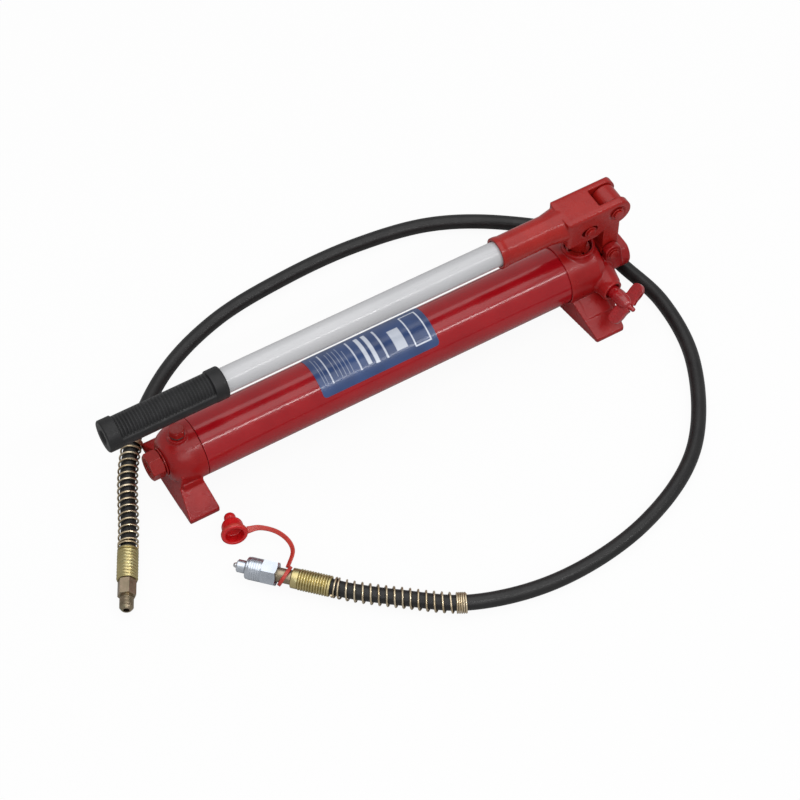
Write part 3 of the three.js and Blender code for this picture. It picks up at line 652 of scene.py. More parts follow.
# ---------------- reservoir and its ends
LABEL = {
    "length": 129.0,
    "girth": 57.0,
    # start along the label, lower and upper end round the tube, thickness, strength of the white
    "bars": [
        (6, 12, 46, 0.5, 0.45), (9, 12, 42, 0.5, 0.45), (14, 10, 48, 1.3, 0.8), (21, 14, 44, 0.5, 0.5),
        (25, 12, 46, 0.5, 0.5), (29, 12, 44, 0.5, 0.5), (33, 12, 46, 0.5, 0.5), (37, 12, 38, 0.5, 0.5),
        (45, 10, 48, 1.6, 0.85), (54, 12, 46, 4.2, 0.9), (62, 10, 46, 4.2, 0.9), (74, 10, 46, 2.0, 0.85),
    ],
}


def reservoir():
    inner = TUBE_R - 2.5
    tube = ring(inner, TUBE_R, TUBE_HIGH.x - SEAM_X, (SEAM_X, 0, AXIS_Z), X, 192, 0.6)
    place(tube, "reservoir_barrel", "base", "red_enamel", tube_enamel, "reservoir_tube")


def label():
    """Thin film wrapped on the tube, with rounded corners and a UV map in millimetres."""
    low = span("label")[0]
    base, thick, corner = TUBE_R + 0.12, 0.22, 4.0
    start = math.radians(147)
    length, girth = LABEL["length"], LABEL["girth"]
    columns, rows = 96, 64
    verts, coords = [], []
    for layer in (0, thick):
        for j in range(rows + 1):
            for i in range(columns + 1):
                u, v = length * i / columns, girth * j / rows
                du = max(corner - min(u, length - u), 0)
                dv = max(corner - min(v, girth - v), 0)
                pull = math.hypot(du, dv)
                if pull > corner:
                    u += math.copysign(du * (1 - corner / pull), length / 2 - u)
                    v += math.copysign(dv * (1 - corner / pull), girth / 2 - v)
                angle = start - v / TUBE_R
                radius = base + layer
                verts.append((low.x + u, radius * math.cos(angle), AXIS_Z + radius * math.sin(angle)))
                coords.append((u, v))
    width = columns + 1
    sheet = width * (rows + 1)
    faces = []
    for j in range(rows):
        for i in range(columns):
            a = j * width + i
            faces.append((a, a + 1, a + width + 1, a + width))
            faces.append((sheet + a, sheet + a + width, sheet + a + width + 1, sheet + a + 1))
    rim = list(range(width)) + [j * width + columns for j in range(1, rows + 1)]
    rim += [rows * width + i for i in range(columns - 1, -1, -1)]
    rim += [j * width for j in range(rows - 1, 0, -1)]
    for a, b in zip(rim, rim[1:] + rim[:1]):
        faces.append((a, sheet + a, sheet + b, b))
    mesh = bpy.data.meshes.new("label_film")
    mesh.from_pydata([tuple(c * MM for c in v) for v in verts], [], faces)
    layer = mesh.uv_layers.new(name="film")
    for loop in mesh.loops:
        layer.data[loop.index].uv = coords[loop.vertex_index]
    obj = linked("label_film", mesh)
    place(obj, "label_film", "base", "label_blue", label_film, "label")


def legs(foot):
    """A pair of sloping legs: wide on the floor, narrow under the casting, hollow below."""
    width, top, tip, root = foot["width"], foot["top"], foot["tip"], foot["root"]
    across = [(-width, 0), (-width, FOOT_PAD), (-top, foot["top_z"]), (-top, AXIS_Z),
              (top, AXIS_Z), (top, foot["top_z"]), (width, FOOT_PAD), (width, 0)]
    along = [(-root, 0), (root, 0), (root - foot["taper"], AXIS_Z), (foot["taper"] - root, AXIS_Z)]
    plan = [(-tip, -width), (tip, -width), (root, 0), (tip, width), (-tip, width), (-root, 0)]
    shape = carve(
        [prism("x", across, -root, root)],
        [block(5 - tip, tip - 5, *sides, -1, 4.5) for sides in ((12, width - 10), (10 - width, -12))],
        [prism("y", along, -width - 1, width + 1),
         prism("z", rounded(plan, 2, closed=True), -2, AXIS_Z + 1)],
    )
    shape.location.x = foot["x"] * MM
    bpy.context.view_layer.update()
    shape.data.transform(shape.matrix_world)
    shape.matrix_world = Matrix.Identity(4)
    return shape


def rear_cap():
    axis = (0, 0, AXIS_Z)
    flat, shoulder = 15.5, 26
    dome = [(0, NOSE_X), (flat, NOSE_X)]
    for degrees in range(6, 91, 6):
        t = math.radians(degrees)
        dome.append((flat + (TUBE_R - flat) * math.sin(t), NOSE_X + shoulder * (1 - math.cos(t))))
    dome += [(TUBE_R, SEAM_X - GAP), (0, SEAM_X - GAP)]
    foot_x = REAR_FOOT["x"]
    ledge = prism("x", [(-29.5, 20), (29.5, 20), (28.5, 30), (-28.5, 30)], foot_x - 9, foot_x + 12)
    shapes = [
        lathe(dome, axis, X, 128),
        rod(9.5, (FILLER_X, 0, 60), (FILLER_X, 0, FILLER_SEAT)),
        ledge,
        legs(REAR_FOOT),
    ]
    cuts = [
        rod(8.4, (NOSE_X - 1, 0, AXIS_Z), (NOSE_X + 9, 0, AXIS_Z)),
        rod(5.3, (FILLER_X, 0, 58), (FILLER_X, 0, FILLER_SEAT + 5)),
    ]
    cap = soften(carve(shapes, cuts), 0.6, 6)
    place(cap, "rear_cap_casting", "base", "red_enamel", cast_enamel, "rear_cap", angle=60)


def hexagon(across_flats, length, start, axis, chamfer, phase=0.0, domed=0.0):
    """Hexagon bar whose end corners are turned off, as on a nut."""
    corner = across_flats / math.sqrt(3)
    drop = (corner - across_flats / 2) * 0.62 + chamfer
    flat = across_flats / 2 - chamfer * 0.4
    turned = [(0, -domed), (flat, 0), (corner + 0.6, drop), (corner + 0.6, length - drop), (flat, length),
              (0, length + domed)]
    bar = lathe([(0, -1), (corner, -1), (corner, length + 1), (0, length + 1)], start, axis, 6, phase)
    return carve([bar], (), [lathe(turned, start, axis, 96)])


def thread(start, axis, length, radius, pitch, depth, segments=96):
    """Round bar with ring grooves at a thread's pitch."""
    root = radius - depth
    profile = [(0, 0), (root, 0)]
    for i in range(int(length / pitch)):
        tooth = ((root, 0.15), (radius, 0.45), (radius, 0.6), (root, 0.9))
        profile += [(r, i * pitch + pitch * share) for r, share in tooth]
    profile += [(root, length), (0, length)]
    return lathe(profile, start, axis, segments)


def tie_rod_end():
    x = NUT_LOW.x
    length = NUT_HIGH.x - x
    nut = hexagon(25, length, (x, 0, AXIS_Z), X, 0.6, math.radians(15))
    nut = soften(carve([nut], [rod(8.3, (x + 5, 0, AXIS_Z), (x + length + 1, 0, AXIS_Z)),
                               rod(5.2, (x - 2, 0, AXIS_Z), (x + 2.2, 0, AXIS_Z))]), 0.35, 3)
    place(nut, "tie_rod_cap_nut", "base", "red_enamel", forged_enamel, "tie_rod_nut")
    low, high = span("tie_rod_washer")
    washer = ring(8.3, 14.6, high.x - low.x, (low.x, 0, AXIS_Z), X, 96, 0.5)
    place(washer, "tie_rod_sealing_washer", "base", "red_enamel", forged_enamel, "tie_rod_washer")


def filler():
    low, high = span("filler_seal")
    seal = ring(5.6, 7.2, high.z - low.z, (FILLER_X, 0, low.z), Z, 64, 0.7)
    place(seal, "filler_o_ring", "filler_seal", "seal_rubber", seal_rubber, "filler_seal")
    base = high.z + GAP
    head = hexagon(14, FILLER_HIGH.z - base, (FILLER_X, 0, base), Z, 0.7, 0.0)
    stem = thread((FILLER_X, 0, FILLER_LOW.z), Z, base - FILLER_LOW.z + 1, 4.9, 1.25, 0.5)
    plug = soften(carve([head, stem]), 0.25, 3)
    place(plug, "filler_plug_hex", "filler_plug", "red_enamel", forged_enamel, "filler_plug")


# ---------------- pump head
def head_ledges():
    """Low plateau on the upper half of each sloping leg."""
    run = HEAD_FOOT["width"] - HEAD_FOOT["top"]
    fall = (HEAD_FOOT["top_z"] - FOOT_PAD) / run
    proud, end = 1.3, HEAD_FOOT["top"] + 0.5 * run
    z_end = HEAD_FOOT["top_z"] - fall * (end - HEAD_FOOT["top"])
    top, top_z = HEAD_FOOT["top"], HEAD_FOOT["top_z"] + proud
    section = [(-end, z_end - 4), (-end, z_end + proud - 0.6), (-top, top_z),
               (top, top_z), (end, z_end + proud - 0.6), (end, z_end - 4)]
    return prism("x", section, -14, 13)


def pump_head():
    axis = (0, 0, AXIS_Z)
    collar_x = TUBE_HIGH.x - 7.6
    lug_x = LINK_FOOT.x - 8
    collar_r, boss_r, lug_half, boss_face = 31.6, 17, 18, 11.5
    lugs = [(lug_x, 36), (lug_x, LINK_FOOT.z), *arc(LINK_FOOT.x, LINK_FOOT.z, 10, 150, 0), (44, 36)]
    nose = rounded([(0, 10), (17.5, 10), (17.5, HEAD_HIGH.x), (0, HEAD_HIGH.x)], 3.0)
    shapes = [
        lathe([(0, collar_x), (collar_r, collar_x), (collar_r, 9), (27, 17), (0, 17)], axis, X, 128),
        rod(boss_r, (PUMP_X, 0, 40), (PUMP_X, 0, BOSS_TOP), 96),
        lathe([(0, 60), (23, 60), (18, 68), (boss_r, 72), (0, 72)], (PUMP_X, 0, 0), Z, 96),
        prism("y", lugs, -lug_half, lug_half),
        lathe(nose, (0, 0, OUTLET_Z), X, 96),
        lathe([(0, 0), (16, 0), (13, 14), (boss_face, 20), (boss_face, RELEASE_FACE), (0, RELEASE_FACE)],
              on_release(0), RELEASE_AXIS, 96),
        lathe([(0, 0), (17, 0), (boss_face, 27), (0, 27)], on_release(0) + Vector((5, 2, 2)),
              on_release(30) - on_release(0) - Vector((4, 2, 2)), 96),
        block(-15, 24, -20, 21, 4, 34),
        block(-12, 9, -24, 24, 0, 20),
        legs(HEAD_FOOT),
        head_ledges(),
    ]
    slot_floor = LINK_FOOT.z - 10.5
    cuts = [
        rod(14, (PUMP_X, 0, BOSS_TOP - 11), (PUMP_X, 0, BOSS_TOP + 1), 96),
        rod(10.3, (PUMP_X, 0, 56), (PUMP_X, 0, BOSS_TOP), 96),
        ring(TUBE_R - 14, TUBE_R + GAP, 11, (collar_x - 1, 0, AXIS_Z), X, 128, 0.1),
        rod(7.4, (15, 0, OUTLET_Z), (HEAD_HIGH.x + 1, 0, OUTLET_Z)),
        rod(8.6, on_release(RELEASE_FACE - 9), on_release(RELEASE_FACE + 1)),
        rod(4.3, on_release(1), on_release(RELEASE_FACE)),
        block(LINK_FOOT.x - 13, LINK_FOOT.x + 30, -10.8, 10.8, slot_floor, 100),
        crossways(5.5, LINK_FOOT.x, LINK_FOOT.z, lug_half + 1),
    ]
    head = soften(carve(shapes, cuts), 0.6, 7)
    place(head, "pump_head_casting", "base", "red_enamel", cast_enamel, "pump_head", angle=60)
    # The outlet port's thread: a sleeve with ring grooves inside.
    profile = [(7.2, 0), (7.2, 30), (6.6, 30)]
    turns, pitch = 19, 1.5
    for i in range(turns):
        x = 29.5 - i * pitch
        profile += [(6.6, x), (5.9, x - 0.6), (5.9, x - 0.8), (6.6, x - 1.4)]
    profile += [(6.6, 0)]
    port = lathe(profile, (HEAD_HIGH.x - 31, 0, OUTLET_Z), X, 96)
    place(port, "outlet_port_thread", "base", "steel", bright_steel)


def gland_and_plunger():
    centre = (PUMP_X, 0, 0)
    low, high = span("gland_nut")
    bore = 6.75
    nut = [(bore, low.z), (9.9, low.z), (9.9, 66.4), (12.5, 66.4), (12.5, high.z - 0.6), (11.9, high.z),
           (bore + 0.6, high.z), (bore, high.z - 0.6)]
    gland = lathe(nut, centre, Z, 96)
    spanner_holes = [rod(1.6, (PUMP_X + x, y, high.z - 3), (PUMP_X + x, y, high.z + 1), 24)
                     for x, y in ((9.6, 0), (-9.6, 0), (0, 9.6), (0, -9.6))]
    gland = carve([gland], spanner_holes)
    place(gland, "gland_ring_nut", "base", "red_enamel", forged_enamel, "gland_nut")
    z0 = PLUNGER_LOW.z
    neck = high.z + 0.8
    shaft = [(0, z0), (5.6, z0), (6.45, z0 + 1), (6.45, neck), (0, neck)]
    shaft = lathe(rounded(shaft, 0.3), centre, Z, 96)
    # The rod's steel is darkened as painted shade under the lever.
    place(shaft, "plunger_rod", "plunger", "steel", shade_darkened_steel, "pump_plunger")
    # The painted head comes down to just above the gland and carries the pin's eye.
    stem = [(0, neck), (8.2, neck), (8.6, neck + 1), (8.6, PIN_Z - 4), (0, PIN_Z - 4)]
    stem = lathe(rounded(stem, 0.5), centre, Z, 96)
    eye = rod(10, (PUMP_X, -9.6, PIN_Z), (PUMP_X, 9.6, PIN_Z), 96, 0.8)
    plunger = carve([stem, eye], [crossways(4.8, PUMP_X, PIN_Z, 11)])
    place(plunger, "plunger_head", "plunger", "red_enamel", forged_enamel)


def cross_pin(node, body):
    """Domed pin with a groove, and the split ring that holds it."""
    low, high = span(node)
    clip_low, clip_high = span(f"{node}_clip")
    x, z = (low.x + high.x) / 2, (low.z + high.z) / 2
    head = (high.x - low.x) / 2
    radius = head - 2
    groove = radius - 1
    head_in = high.y - 2.2
    profile = [(0, low.y), (radius, low.y), (radius, clip_low.y - 0.2), (groove, clip_low.y - 0.2),
               (groove, clip_high.y + 0.2), (radius, clip_high.y + 0.2), (radius, head_in), (head, head_in),
               (head, high.y - 0.7), (head - 1.2, high.y), (0, high.y)]
    pin = lathe(rounded(profile, 0.45), (x, 0, z), Y, 72)
    place(pin, f"{node}_headed", body, "red_enamel", forged_enamel, node)
    outer = (clip_high.x - clip_low.x) / 2
    thickness = clip_high.y - clip_low.y
    clip = ring(groove + 0.15, outer, thickness, (x, clip_low.y, z), Y, 72, 0.25)
    opening = block(x - 1.6, x + 1.6, clip_low.y - 1, clip_high.y + 1, z - outer - 1, z)
    clip = soften(carve([clip], [opening]), 0.2, 2)
    place(clip, f"{node}_split_ring", body, "red_enamel", forged_enamel, f"{node}_clip")


def release_knob():
    """Cast wing screw: a stout hub, two leaf-shaped wings and a short nose, on its turned spindle."""
    face = RELEASE_FACE
    lean, centre, thickness = 52, 20, 5.2

    def wing(turn):
        radial = Matrix.Rotation(math.radians(turn), 3, RELEASE_AXIS) @ Z
        side = radial.cross(RELEASE_AXIS)
        outline = rounded([(3, -8), (9, -6.4), (15, -7), (21, -6.6), (24, -2.5), (24, 2.4), (20.5, 6.4),
                           (14, 7.4), (8, 7), (3, 8.5)], 4, closed=True)
        plate = prism("z", outline, -thickness / 2, thickness / 2)
        turned = Matrix((radial, RELEASE_AXIS, side)).transposed().to_4x4()
        plate.data.transform(Matrix.Translation(on_release(face + centre) * MM) @ turned)
        return plate

    profile = [(0, face - 5), (6.8, face - 5), (6.8, face + 3), (7.6, face + 6), (7.6, face + 15),
               (7, face + 20), (5, face + 23.5), (2.6, face + 25), (2.3, face + 31), (0, face + 32)]
    hub = lathe(rounded(profile, 2), on_release(0), RELEASE_AXIS, 72)
    socket = rod(4.2, on_release(face - 6), on_release(face + 11))
    knob = soften(carve([hub, wing(-lean), wing(180 - lean)], [socket]), 0.35, 5)
    place(knob, "release_wing_knob", "release_valve", "red_vinyl", knob_lacquer, "release_knob", angle=60)
    spindle = [(0, 5.5), (1.8, 5.5), (3.9, 9), (3.9, face - 14), (2.9, face - 14), (2.9, face - 11),
               (3.9, face - 11), (3.9, face + 10.5), (0, face + 10.5)]
    spindle = lathe(rounded(spindle, 0.3), on_release(0), RELEASE_AXIS, 72)
    place(spindle, "release_spindle_turned", "release_valve", "steel", bright_steel, "release_spindle")
    ends = [on_release(face + 4) + Z * 7.4, on_release(face + 4) - Z * 7.4]
    pin = rod(1.1, *ends, 32, 0.3)
    place(pin, "release_roll_pin", "release_valve", "red_vinyl", knob_lacquer, "knob_pin")


# ---------------- lever
def link():
    x, half = FULCRUM.x, 10
    section = [(-half, LINK_FOOT.z), (half, LINK_FOOT.z), (half, FULCRUM.z), (-half, FULCRUM.z)]
    shank = prism("x", rounded(section, 1.5, closed=True), x - 8, x + 10.5)
    knuckles = [crossways(9.5, x, LINK_FOOT.z, half, 96), crossways(13, x, FULCRUM.z, half, 96)]
    holes = [crossways(5.4, x, z, half + 1) for z in (LINK_FOOT.z, FULCRUM.z)]
    shape = soften(carve([shank, *knuckles], holes), 0.55, 6)
    place(shape, "fulcrum_link_forging", "link", "red_enamel", forged_enamel, "fulcrum_link", angle=60)


def lever_socket():
    """Forked casting on the fulcrum, drawn down to a round socket for the handle."""
    block_x, top_z, mouth = -27, SOCKET_HIGH.z - 0.5, SOCKET_LOW.x
    inner, outer, lobe = 10.7, SOCKET_HIGH.y, 15.5
    side = [(block_x, top_z - 1), (block_x + 4, top_z), *arc(FULCRUM.x, FULCRUM.z, lobe, 78, -90),
            (18, FULCRUM.z - lobe), (6, 101), (block_x + 5, 101), (block_x, 106)]
    sleeve = [(0, mouth), (16.3, mouth), (16.3, mouth + 4), (15.5, mouth + 8), (15.5, block_x - 12),
              (16.3, block_x - 3), (16.6, block_x + 3), (0, block_x + 3)]
    bottom, corner = 101, 4.5
    frame_outline = rounded([(-outer, bottom - 1), (outer, bottom - 1), (outer, top_z), (-outer, top_z)],
                            corner, closed=True)
    plan = rounded([(block_x, -outer), (80, -outer), (80, outer), (block_x, outer)], corner, closed=True)
    body = carve([prism("y", side, -outer, outer)], (),
                 [prism("x", frame_outline, block_x - 1, 81), prism("z", plan, 80, 150)])
    slot = [*arc(PUMP_X + 3.5, PIN_Z, 5.5, -90, 90), *arc(PUMP_X - 3.5, PIN_Z, 5.5, 90, 270)]
    cuts = [
        rod(HANDLE_R + 0.4, (mouth - 1, 0, HANDLE_Z), (-42, 0, HANDLE_Z), 96),
        block(block_x + 6, 70, -inner, inner, 80, 133),
        block(13, 70, -inner, inner, 80, 160),
        crossways(5.4, FULCRUM.x, FULCRUM.z, 30),
        prism("y", slot, -30, 30),
        rod(8.8, (FULCRUM.x, -30, FULCRUM.z), (FULCRUM.x, 0.9 - outer, FULCRUM.z)),
    ]
    # The socket widens sideways into the block, and is flat above and below there.
    cone = [(0, -15), (15.4, -15), (18.3, 1), (18.3, 3), (0, 3)]
    flare = carve([lathe(cone, (block_x, 0, HANDLE_Z), X, 96)], (),
                  [block(block_x - 16, block_x + 4, -20, 20, HANDLE_Z - 14, HANDLE_Z + 14.6)])
    socket = soften(carve([body, lathe(sleeve, (0, 0, HANDLE_Z), X, 96), flare], cuts), 0.55, 6)
    place(socket, "lever_socket_casting", "lever", "red_enamel", forged_enamel, "handle_socket", angle=60)


def handle():
    tube = ring(11, HANDLE_R, HANDLE_HIGH.x - HANDLE_LOW.x, (HANDLE_LOW.x, 0, HANDLE_Z), X, 128, 0.6)
    place(tube, "handle_bar", "handle", "white_enamel", white_enamel, "handle_tube")
    collar, crest, valley, bore = 16.2, 14.7, 13.6, HANDLE_R + 0.2
    x0, x1, end = GRIP_LOW.x, GRIP_HIGH.x, 14
    ribs = 29
    pitch = (x1 - x0 - 2 * end) / ribs
    outer = [(0, x0 + 3.5), (5.5, x0 + 3.5), (7, x0 + 1), (8.5, x0), (collar - 1, x0), (collar, x0 + 1.2),
             (collar, x0 + end - 1)]
    for i in range(ribs):
        x = x0 + end + i * pitch
        shares = ((valley, 0), (crest, 0.3), (crest, 0.62), (valley, 0.9))
        outer += [(radius, x + pitch * share) for radius, share in shares]
    outer += [(valley, x1 - end), (collar, x1 - end + 0.8), (collar, x1 - 1.2), (collar - 1, x1),
              (bore, x1), (bore, HANDLE_LOW.x - 1), (0, HANDLE_LOW.x - 1)]
    sleeve = lathe(outer, (0, 0, HANDLE_Z), X, 128)
    # The ribs run over the top only: a smooth pad fills them in below, and fades in over `fade` degrees.
    open_half = 62
    start, stop = 90 + open_half, 450 - open_half
    fade, edge = 16, valley - 0.2
    skin = []
    for turn in np.linspace(start, stop, 97):
        share = min((turn - start) / fade, (stop - turn) / fade, 1)
        radius = edge + (collar - 0.35 - edge) * share * share * (3 - 2 * share)
        skin.append(arc(0, HANDLE_Z, radius, turn, turn, 1)[0])
    pad = prism("x", skin + arc(0, HANDLE_Z, bore + 0.3, stop, start, 64), x0 + 6, x1 - 6)
    grip = soften(carve([sleeve, pad]), 0.42, 3)
    place(grip, "handle_ribbed_grip", "handle", "grip_vinyl", grip_vinyl, "handle_grip", angle=60)


# ---------------- hose
def catmull_rom(points, per_span=60):
    """Centripetal Catmull-Rom curve through the points."""
    p = [np.asarray(v, float) for v in points]
    p = [2 * p[0] - p[1], *p, 2 * p[-1] - p[-2]]
    out = []
    for a, b, c, d in zip(p, p[1:], p[2:], p[3:]):
        t0, t1, t2 = (np.linalg.norm(v) ** 0.5 for v in (b - a, c - b, d - c))
        m1 = ((b - a) / t0 - (c - a) / (t0 + t1) + (c - b) / t1) * t1
        m2 = ((c - b) / t1 - (d - b) / (t1 + t2) + (d - c) / t2) * t1
        for t in np.linspace(0, 1, per_span, endpoint=False):
            out.append(b + m1 * t + (3 * (c - b) - 2 * m1 - m2) * t ** 2 + (2 * (b - c) + m1 + m2) * t ** 3)
    out.append(p[-2])
    return np.array(out)


def even(points, step):
    """The same line with its points evenly spaced."""
    lengths = np.concatenate([[0], np.cumsum(np.linalg.norm(np.diff(points, axis=0), axis=1))])
    wanted = np.linspace(0, lengths[-1], int(lengths[-1] / step) + 1)
    return np.stack([np.interp(wanted, lengths, points[:, k]) for k in range(3)], 1), wanted


def hose_line():
    lay = [(x, y, HOSE_Z) for x, y in HOSE_WAY[:-2]] + [(x, y, SPRING_Z) for x, y in HOSE_WAY[-2:]]
    drop = (*on_male(178)[:2], SPRING_Z)
    start = [tuple(on_male(s)) for s in (37, 68, 88)]
    end = [tuple(on_coupler(s)) for s in (113, 97, 60)]
    return even(catmull_rom([*start, drop, *lay, *end]), 1.5)


def guard(line, lengths, start, end, first, open_turns, last):
    """Spring round the hose: `first` closed coils, the open-wound ones, then `last` closed coils."""
    radius, wire, per_turn = 9.3, 0.95, 28
    closed_pitch = 2 * wire + 0.05
    middle = end - start - (first * closed_pitch + last * closed_pitch)
    angles, reach = [], []
    for turns, length in ((first, first * closed_pitch), (open_turns, middle), (last, last * closed_pitch)):
        steps = max(int(turns * per_turn), 1)
        a0, s0 = (angles[-1], reach[-1]) if angles else (0.0, start)
        for i in range(0 if not angles else 1, steps + 1):
            angles.append(a0 + 2 * math.pi * turns * i / steps)
            reach.append(s0 + length * i / steps)
    angles, reach = np.array(angles), np.array(reach)
    _, across, up = transport(line)
    here, side, above = (np.stack([np.interp(reach, lengths, part[:, k]) for k in range(3)], 1)
                         for part in (line, across, up))
    points = here + radius * (np.cos(angles)[:, None] * side - np.sin(angles)[:, None] * above)
    return sweep(points, disc(wire, 10))


def hose():
    line, lengths = hose_line()
    body = sweep(line, disc(HOSE_R, 40))
    place(body, "hose_cover", "hose_assembly", "hose_rubber", hose_rubber, "hose")
    total = lengths[-1]
    male = guard(line, lengths, 31.5, 153, 1.5, 15, 3)
    place(male, "male_spring_guard", "hose_assembly", "spring_steel", spring_wire, "male_guard_spring")
    coupler = guard(line, lengths, total - 163, total - 37.5, 5, 15, 1.5)
    place(coupler, "coupler_spring_guard", "hose_assembly", "spring_steel", spring_wire,
          "coupler_guard_spring")


def crimped(start, axis, low, high, ribs, smooth_from=0.0):
    """Ferrule with rolled ribs."""
    bore = HOSE_R + 0.35
    body = high - low - 3 - smooth_from
    pitch = body / ribs
    full, root = FERRULE_R, FERRULE_R - 1.2
    outer = [(4, low), (root, low), (full - 0.6, low + 0.6), (full - 0.6, low + smooth_from)]
    for i in range(ribs):
        s = low + smooth_from + 0.4 + i * pitch
        outer += [(root, s), (full - 0.15, s + pitch * 0.28), (full, s + pitch * 0.5),
                  (full - 0.15, s + pitch * 0.72), (root, s + pitch * 0.98)]
    outer += [(full - 0.2, high - 2.4), (full - 0.2, high - 0.6), (full - 0.8, high),
              (bore, high), (bore, low + 2.6), (4, low + 2.6)]
    return lathe(rounded(outer, 0.35, 2, closed=True), start, axis, 96)


def male_end():
    body, ferrule, end = 15, 34, 68
    pitch, depth, outer = 1.5, 0.7, 6.8
    profile = [(0, 0), (4.6, 0), (6.0, 1.6)]
    s = 2.2
    while s + pitch < body - 1.6:
        profile += [(outer - depth, s), (outer, s + pitch * 0.38), (outer, s + pitch * 0.6),
                    (outer - depth, s + pitch)]
        s += pitch
    profile += [(outer - 0.9, body - 1.2), (outer - 0.9, body + 2), (0, body + 2)]
    nut = hexagon(16, ferrule - 2.3 - body, on_male(body), MALE_AXIS, 0.4, math.radians(12))
    bore = rod(3, on_male(-1), on_male(ferrule - 1))
    nipple = carve([lathe(rounded(profile, 0.2, 2), MALE, MALE_AXIS, 96), nut], [bore])
    place(nipple, "male_threaded_nipple", "hose_assembly", "yellow_zinc", dull_zinc, "male_nipple")
    sleeve = crimped(MALE, MALE_AXIS, ferrule - 2, end - 2, 9)
    place(sleeve, "male_crimped_ferrule", "hose_assembly", "yellow_zinc", yellow_zinc, "male_ferrule")


def coupler_end():
    hex_s, neck, ferrule, end = 28, 43, 57, 97
    sleeve = crimped(COUPLER, COUPLER_AXIS, ferrule, end - 2, 11, 6.5)
    place(sleeve, "coupler_crimped_ferrule", "hose_assembly", "yellow_zinc", yellow_zinc, "coupler_ferrule")
    stem = ring(3, 7, ferrule - 0.3 - (neck - 6), on_coupler(neck - 6), COUPLER_AXIS, 72)
    place(stem, "coupler_neck_stem", "hose_assembly", "yellow_zinc", dull_zinc, "coupler_stem")
    profile = [(0, 3.5), (5.0, 3.5), (6.2, 4.6), (6.2, 11.6), (5.9, 12), (5.9, 13),
               (9.8, 13), (10.6, 13.9), (10.6, 15.2), (10.9, 15.8)]
    grooves, full, root = 5, 10.95, 10.8
    for i in range(grooves):
        s = 16.4 + i * 2.2
        profile += [(full, s), (full, s + 1.7), (root, s + 1.85), (root, s + 2.1)]
    profile += [(full, hex_s), (full, hex_s + 1), (0, hex_s + 1)]
    nose = lathe(profile, COUPLER, COUPLER_AXIS, 96)
    nut = hexagon(22, neck - hex_s, on_coupler(hex_s), COUPLER_AXIS, 0.4)
    bores = [rod(3, on_coupler(3), on_coupler(14)), rod(7.3, on_coupler(neck - 6.3), on_coupler(neck + 1))]
    body = carve([nose, nut], bores)
    place(body, "coupler_male_body", "hose_assembly", "clear_zinc", clear_zinc, "coupler_body")
    poppet = [(0, 0), (1.6, 0), (2.6, 2), (2.6, 10.6), (5, 10.6), (5, 15), (0, 15)]
    poppet = lathe(rounded(poppet, 0.4), COUPLER, COUPLER_AXIS, 64)
    place(poppet, "coupler_poppet_nose", "poppet", "steel", bright_steel, "coupler_poppet")


def dust_cap():
    profile = [(0, -28), (4.6, -27.6), (5.7, -25.5), (5.7, -22.5), (4.9, -20), (5.3, -18.6),
               (8.8, -17), (10.4, -14), (10.9, -5.2), (12.2, -4.2), (12.3, -0.8), (11.8, 0),
               (9.3, 0), (9, -0.8), (8.6, -9.4), (0, -10)]
    cap = lathe(rounded(profile, 1.2, 4), CAP_MOUTH, CAP_AXIS, 96)
    place(cap, "dust_cap_vinyl", "dust_cap", "red_vinyl", red_vinyl, "dust_cap", angle=60)
    turn = math.degrees(math.atan2(COUPLER_AXIS.y, COUPLER_AXIS.x))
    tilt = heading(turn - 14, -18)
    loop = ring(9, 10.9, 3.6, NECK - tilt * 1.8, tilt, 72, 0.7)
    rim = CAP_MOUTH - CAP_AXIS * 2
    z = CAP_MOUTH.z
    way = [NECK + Vector((7, 7, 0)), (-401, -134, z), (-399, -122, z), (-404, -107, z), (-416, -95, z),
           rim + Vector((12.6, -2, 0))]
    points, _ = even(catmull_rom([tuple(v) for v in way], 30), 1.0)
    half_width, half_thick, lean = 2.3, 0.85, math.radians(35)
    corners = [(-half_width, -half_thick), (half_width, -half_thick), (half_width, half_thick),
               (-half_width, half_thick)]
    turned = [(u * math.cos(lean) - v * math.sin(lean), u * math.sin(lean) + v * math.cos(lean))
              for u, v in rounded(corners, 0.6, closed=True)]
    along_band = np.linspace(0, 1, len(points))
    band = sweep(points, turned, 1 + 0.55 * np.clip((along_band - 0.7) / 0.3, 0, 1) ** 2)
    collar = ring(10.95, 12.9, 3.4, rim - CAP_AXIS * 2.2, CAP_AXIS, 72, 0.8)
    hole = rod(9.0, NECK - tilt * 4, NECK + tilt * 4, 72)
    strap = soften(carve([loop, band, collar], [hole]), 0.35, 2)
    place(strap, "cap_strap_vinyl", "dust_cap", "red_vinyl", strap_vinyl, "cap_strap", angle=60)


# ---------------- what stays as CAD
def dress_cad_nodes():
    """Internal pieces keep their CAD shape and get the finish of their material slot."""
    slots = {row["node"]: row["material_slot"] for row in frame["record"]["subparts"]}
    finishes = {"steel": bright_steel, "spring_steel": spring_wire, "seal_rubber": seal_rubber,
                "ptfe": ptfe}
    for name, obj in frame["nodes"].items():
        if not obj.hide_render:
            paint(obj, finishes[slots[name]])


# ---------------- stage
CAMERA_TARGET = Vector((-0.22131, -0.02724, 0))
CAMERA_AZIMUTH = -30.4085
CAMERA_ELEVATION = 54.8139
CAMERA_DISTANCE = 2.59346
CAMERA_LENS = 118.42


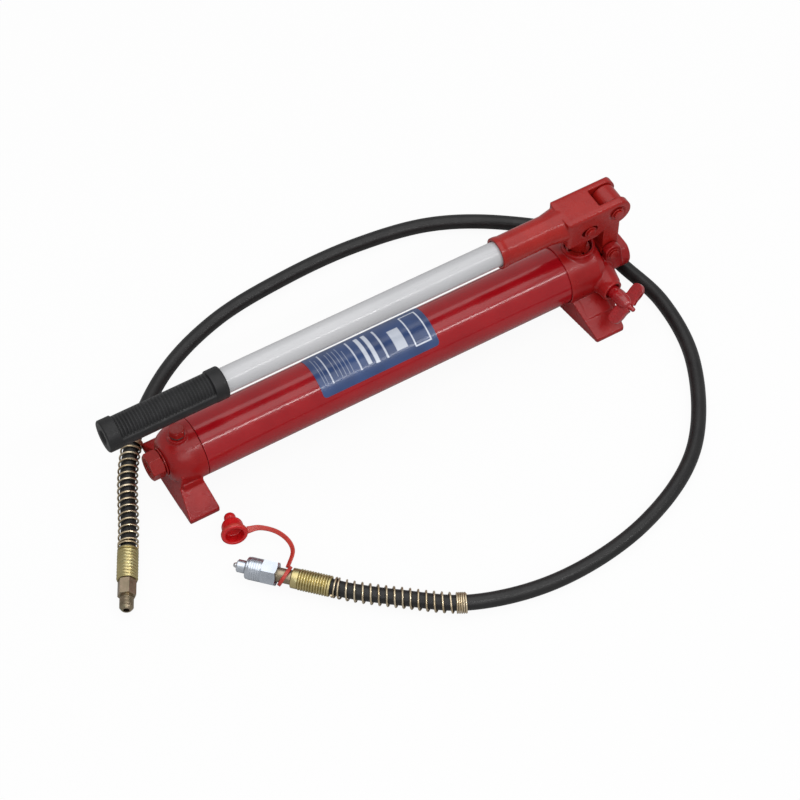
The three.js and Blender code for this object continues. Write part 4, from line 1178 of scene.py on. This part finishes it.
def camera():
    a, e = math.radians(CAMERA_AZIMUTH), math.radians(CAMERA_ELEVATION)
    back = Vector((math.sin(a) * math.cos(e), -math.cos(a) * math.cos(e), math.sin(e)))
    made = linked("camera", bpy.data.cameras.new("camera"))
    made.data.lens = CAMERA_LENS
    made.data.sensor_width = 36
    made.data.clip_end = 50
    made.rotation_mode = "QUATERNION"
    made.location = CAMERA_TARGET + back * CAMERA_DISTANCE
    made.rotation_quaternion = (-back).to_track_quat("-Z", "Y")
    bpy.context.scene.camera = made


def floor():
    mesh = bpy.data.meshes.new("floor")
    size = 12
    corners = [(-size, -size, 0), (size, -size, 0), (size, size, 0), (-size, size, 0)]
    mesh.from_pydata(corners, [], [(0, 1, 2, 3)])
    obj = linked("floor", mesh)
    f = Finish("pale_floor")
    tone = f.mix(f.noise(400, 2, 0.4), (0.40, 0.40, 0.40), (0.43, 0.43, 0.43))
    f.set(Base_Color=tone, Roughness=0.9, Specular_IOR_Level=0.1)
    # Seen by the camera the floor is nearly white; it lights the object as a mid grey.
    white = f.node("ShaderNodeEmission")
    white.inputs["Strength"].default_value = 1.04
    mixed = f.node("ShaderNodeMixShader")
    seen = f.node("ShaderNodeLightPath").outputs["Is Camera Ray"]
    f.link(f.math("MULTIPLY", seen, 0.9), mixed.inputs["Fac"])
    f.link(f.shader.outputs["BSDF"], mixed.inputs[1])
    f.link(white.outputs["Emission"], mixed.inputs[2])
    f.link(mixed.outputs["Shader"], f.tree.nodes["Material Output"].inputs["Surface"])
    mesh.materials.append(f.material)


def softbox(name, place_at, target, width, height, power):
    light = bpy.data.lights.new(name, "AREA")
    light.shape = "RECTANGLE"
    light.size, light.size_y = width, height
    light.energy = power
    obj = linked(name, light)
    obj.location = place_at
    obj.rotation_mode = "QUATERNION"
    obj.rotation_quaternion = (Vector(target) - Vector(place_at)).to_track_quat("-Z", "Y")


def lights():
    world = bpy.data.worlds.new("studio")
    world.use_nodes = True
    world.node_tree.nodes["Background"].inputs["Color"].default_value = (1, 1, 1, 1)
    world.node_tree.nodes["Background"].inputs["Strength"].default_value = 0.55
    bpy.context.scene.world = world
    target = (-0.22, 0, 0.05)
    softbox("overhead", (-0.2, 0.2, 2.6), target, 3.4, 3.0, 46)
    # The strip lies along the reservoir, so that the tube shows one thin streak.
    softbox("key_strip", (0.59, -1.63, 2.08), (0.59, 0, 0.05), 2.8, 0.14, 22)
    softbox("fill", (-1.2, -2.0, 1.6), target, 1.8, 1.2, 12)


reservoir()
label()
rear_cap()
tie_rod_end()
filler()
pump_head()
gland_and_plunger()
for pin, pin_body in (("link_pin", "base"), ("plunger_pin", "plunger"), ("fulcrum_pin", "lever")):
    cross_pin(pin, pin_body)
release_knob()
link()
lever_socket()
handle()
hose()
male_end()
coupler_end()
dust_cap()
dress_cad_nodes()
floor()
lights()
camera()
bpy.context.scene.view_settings.view_transform = "Standard"
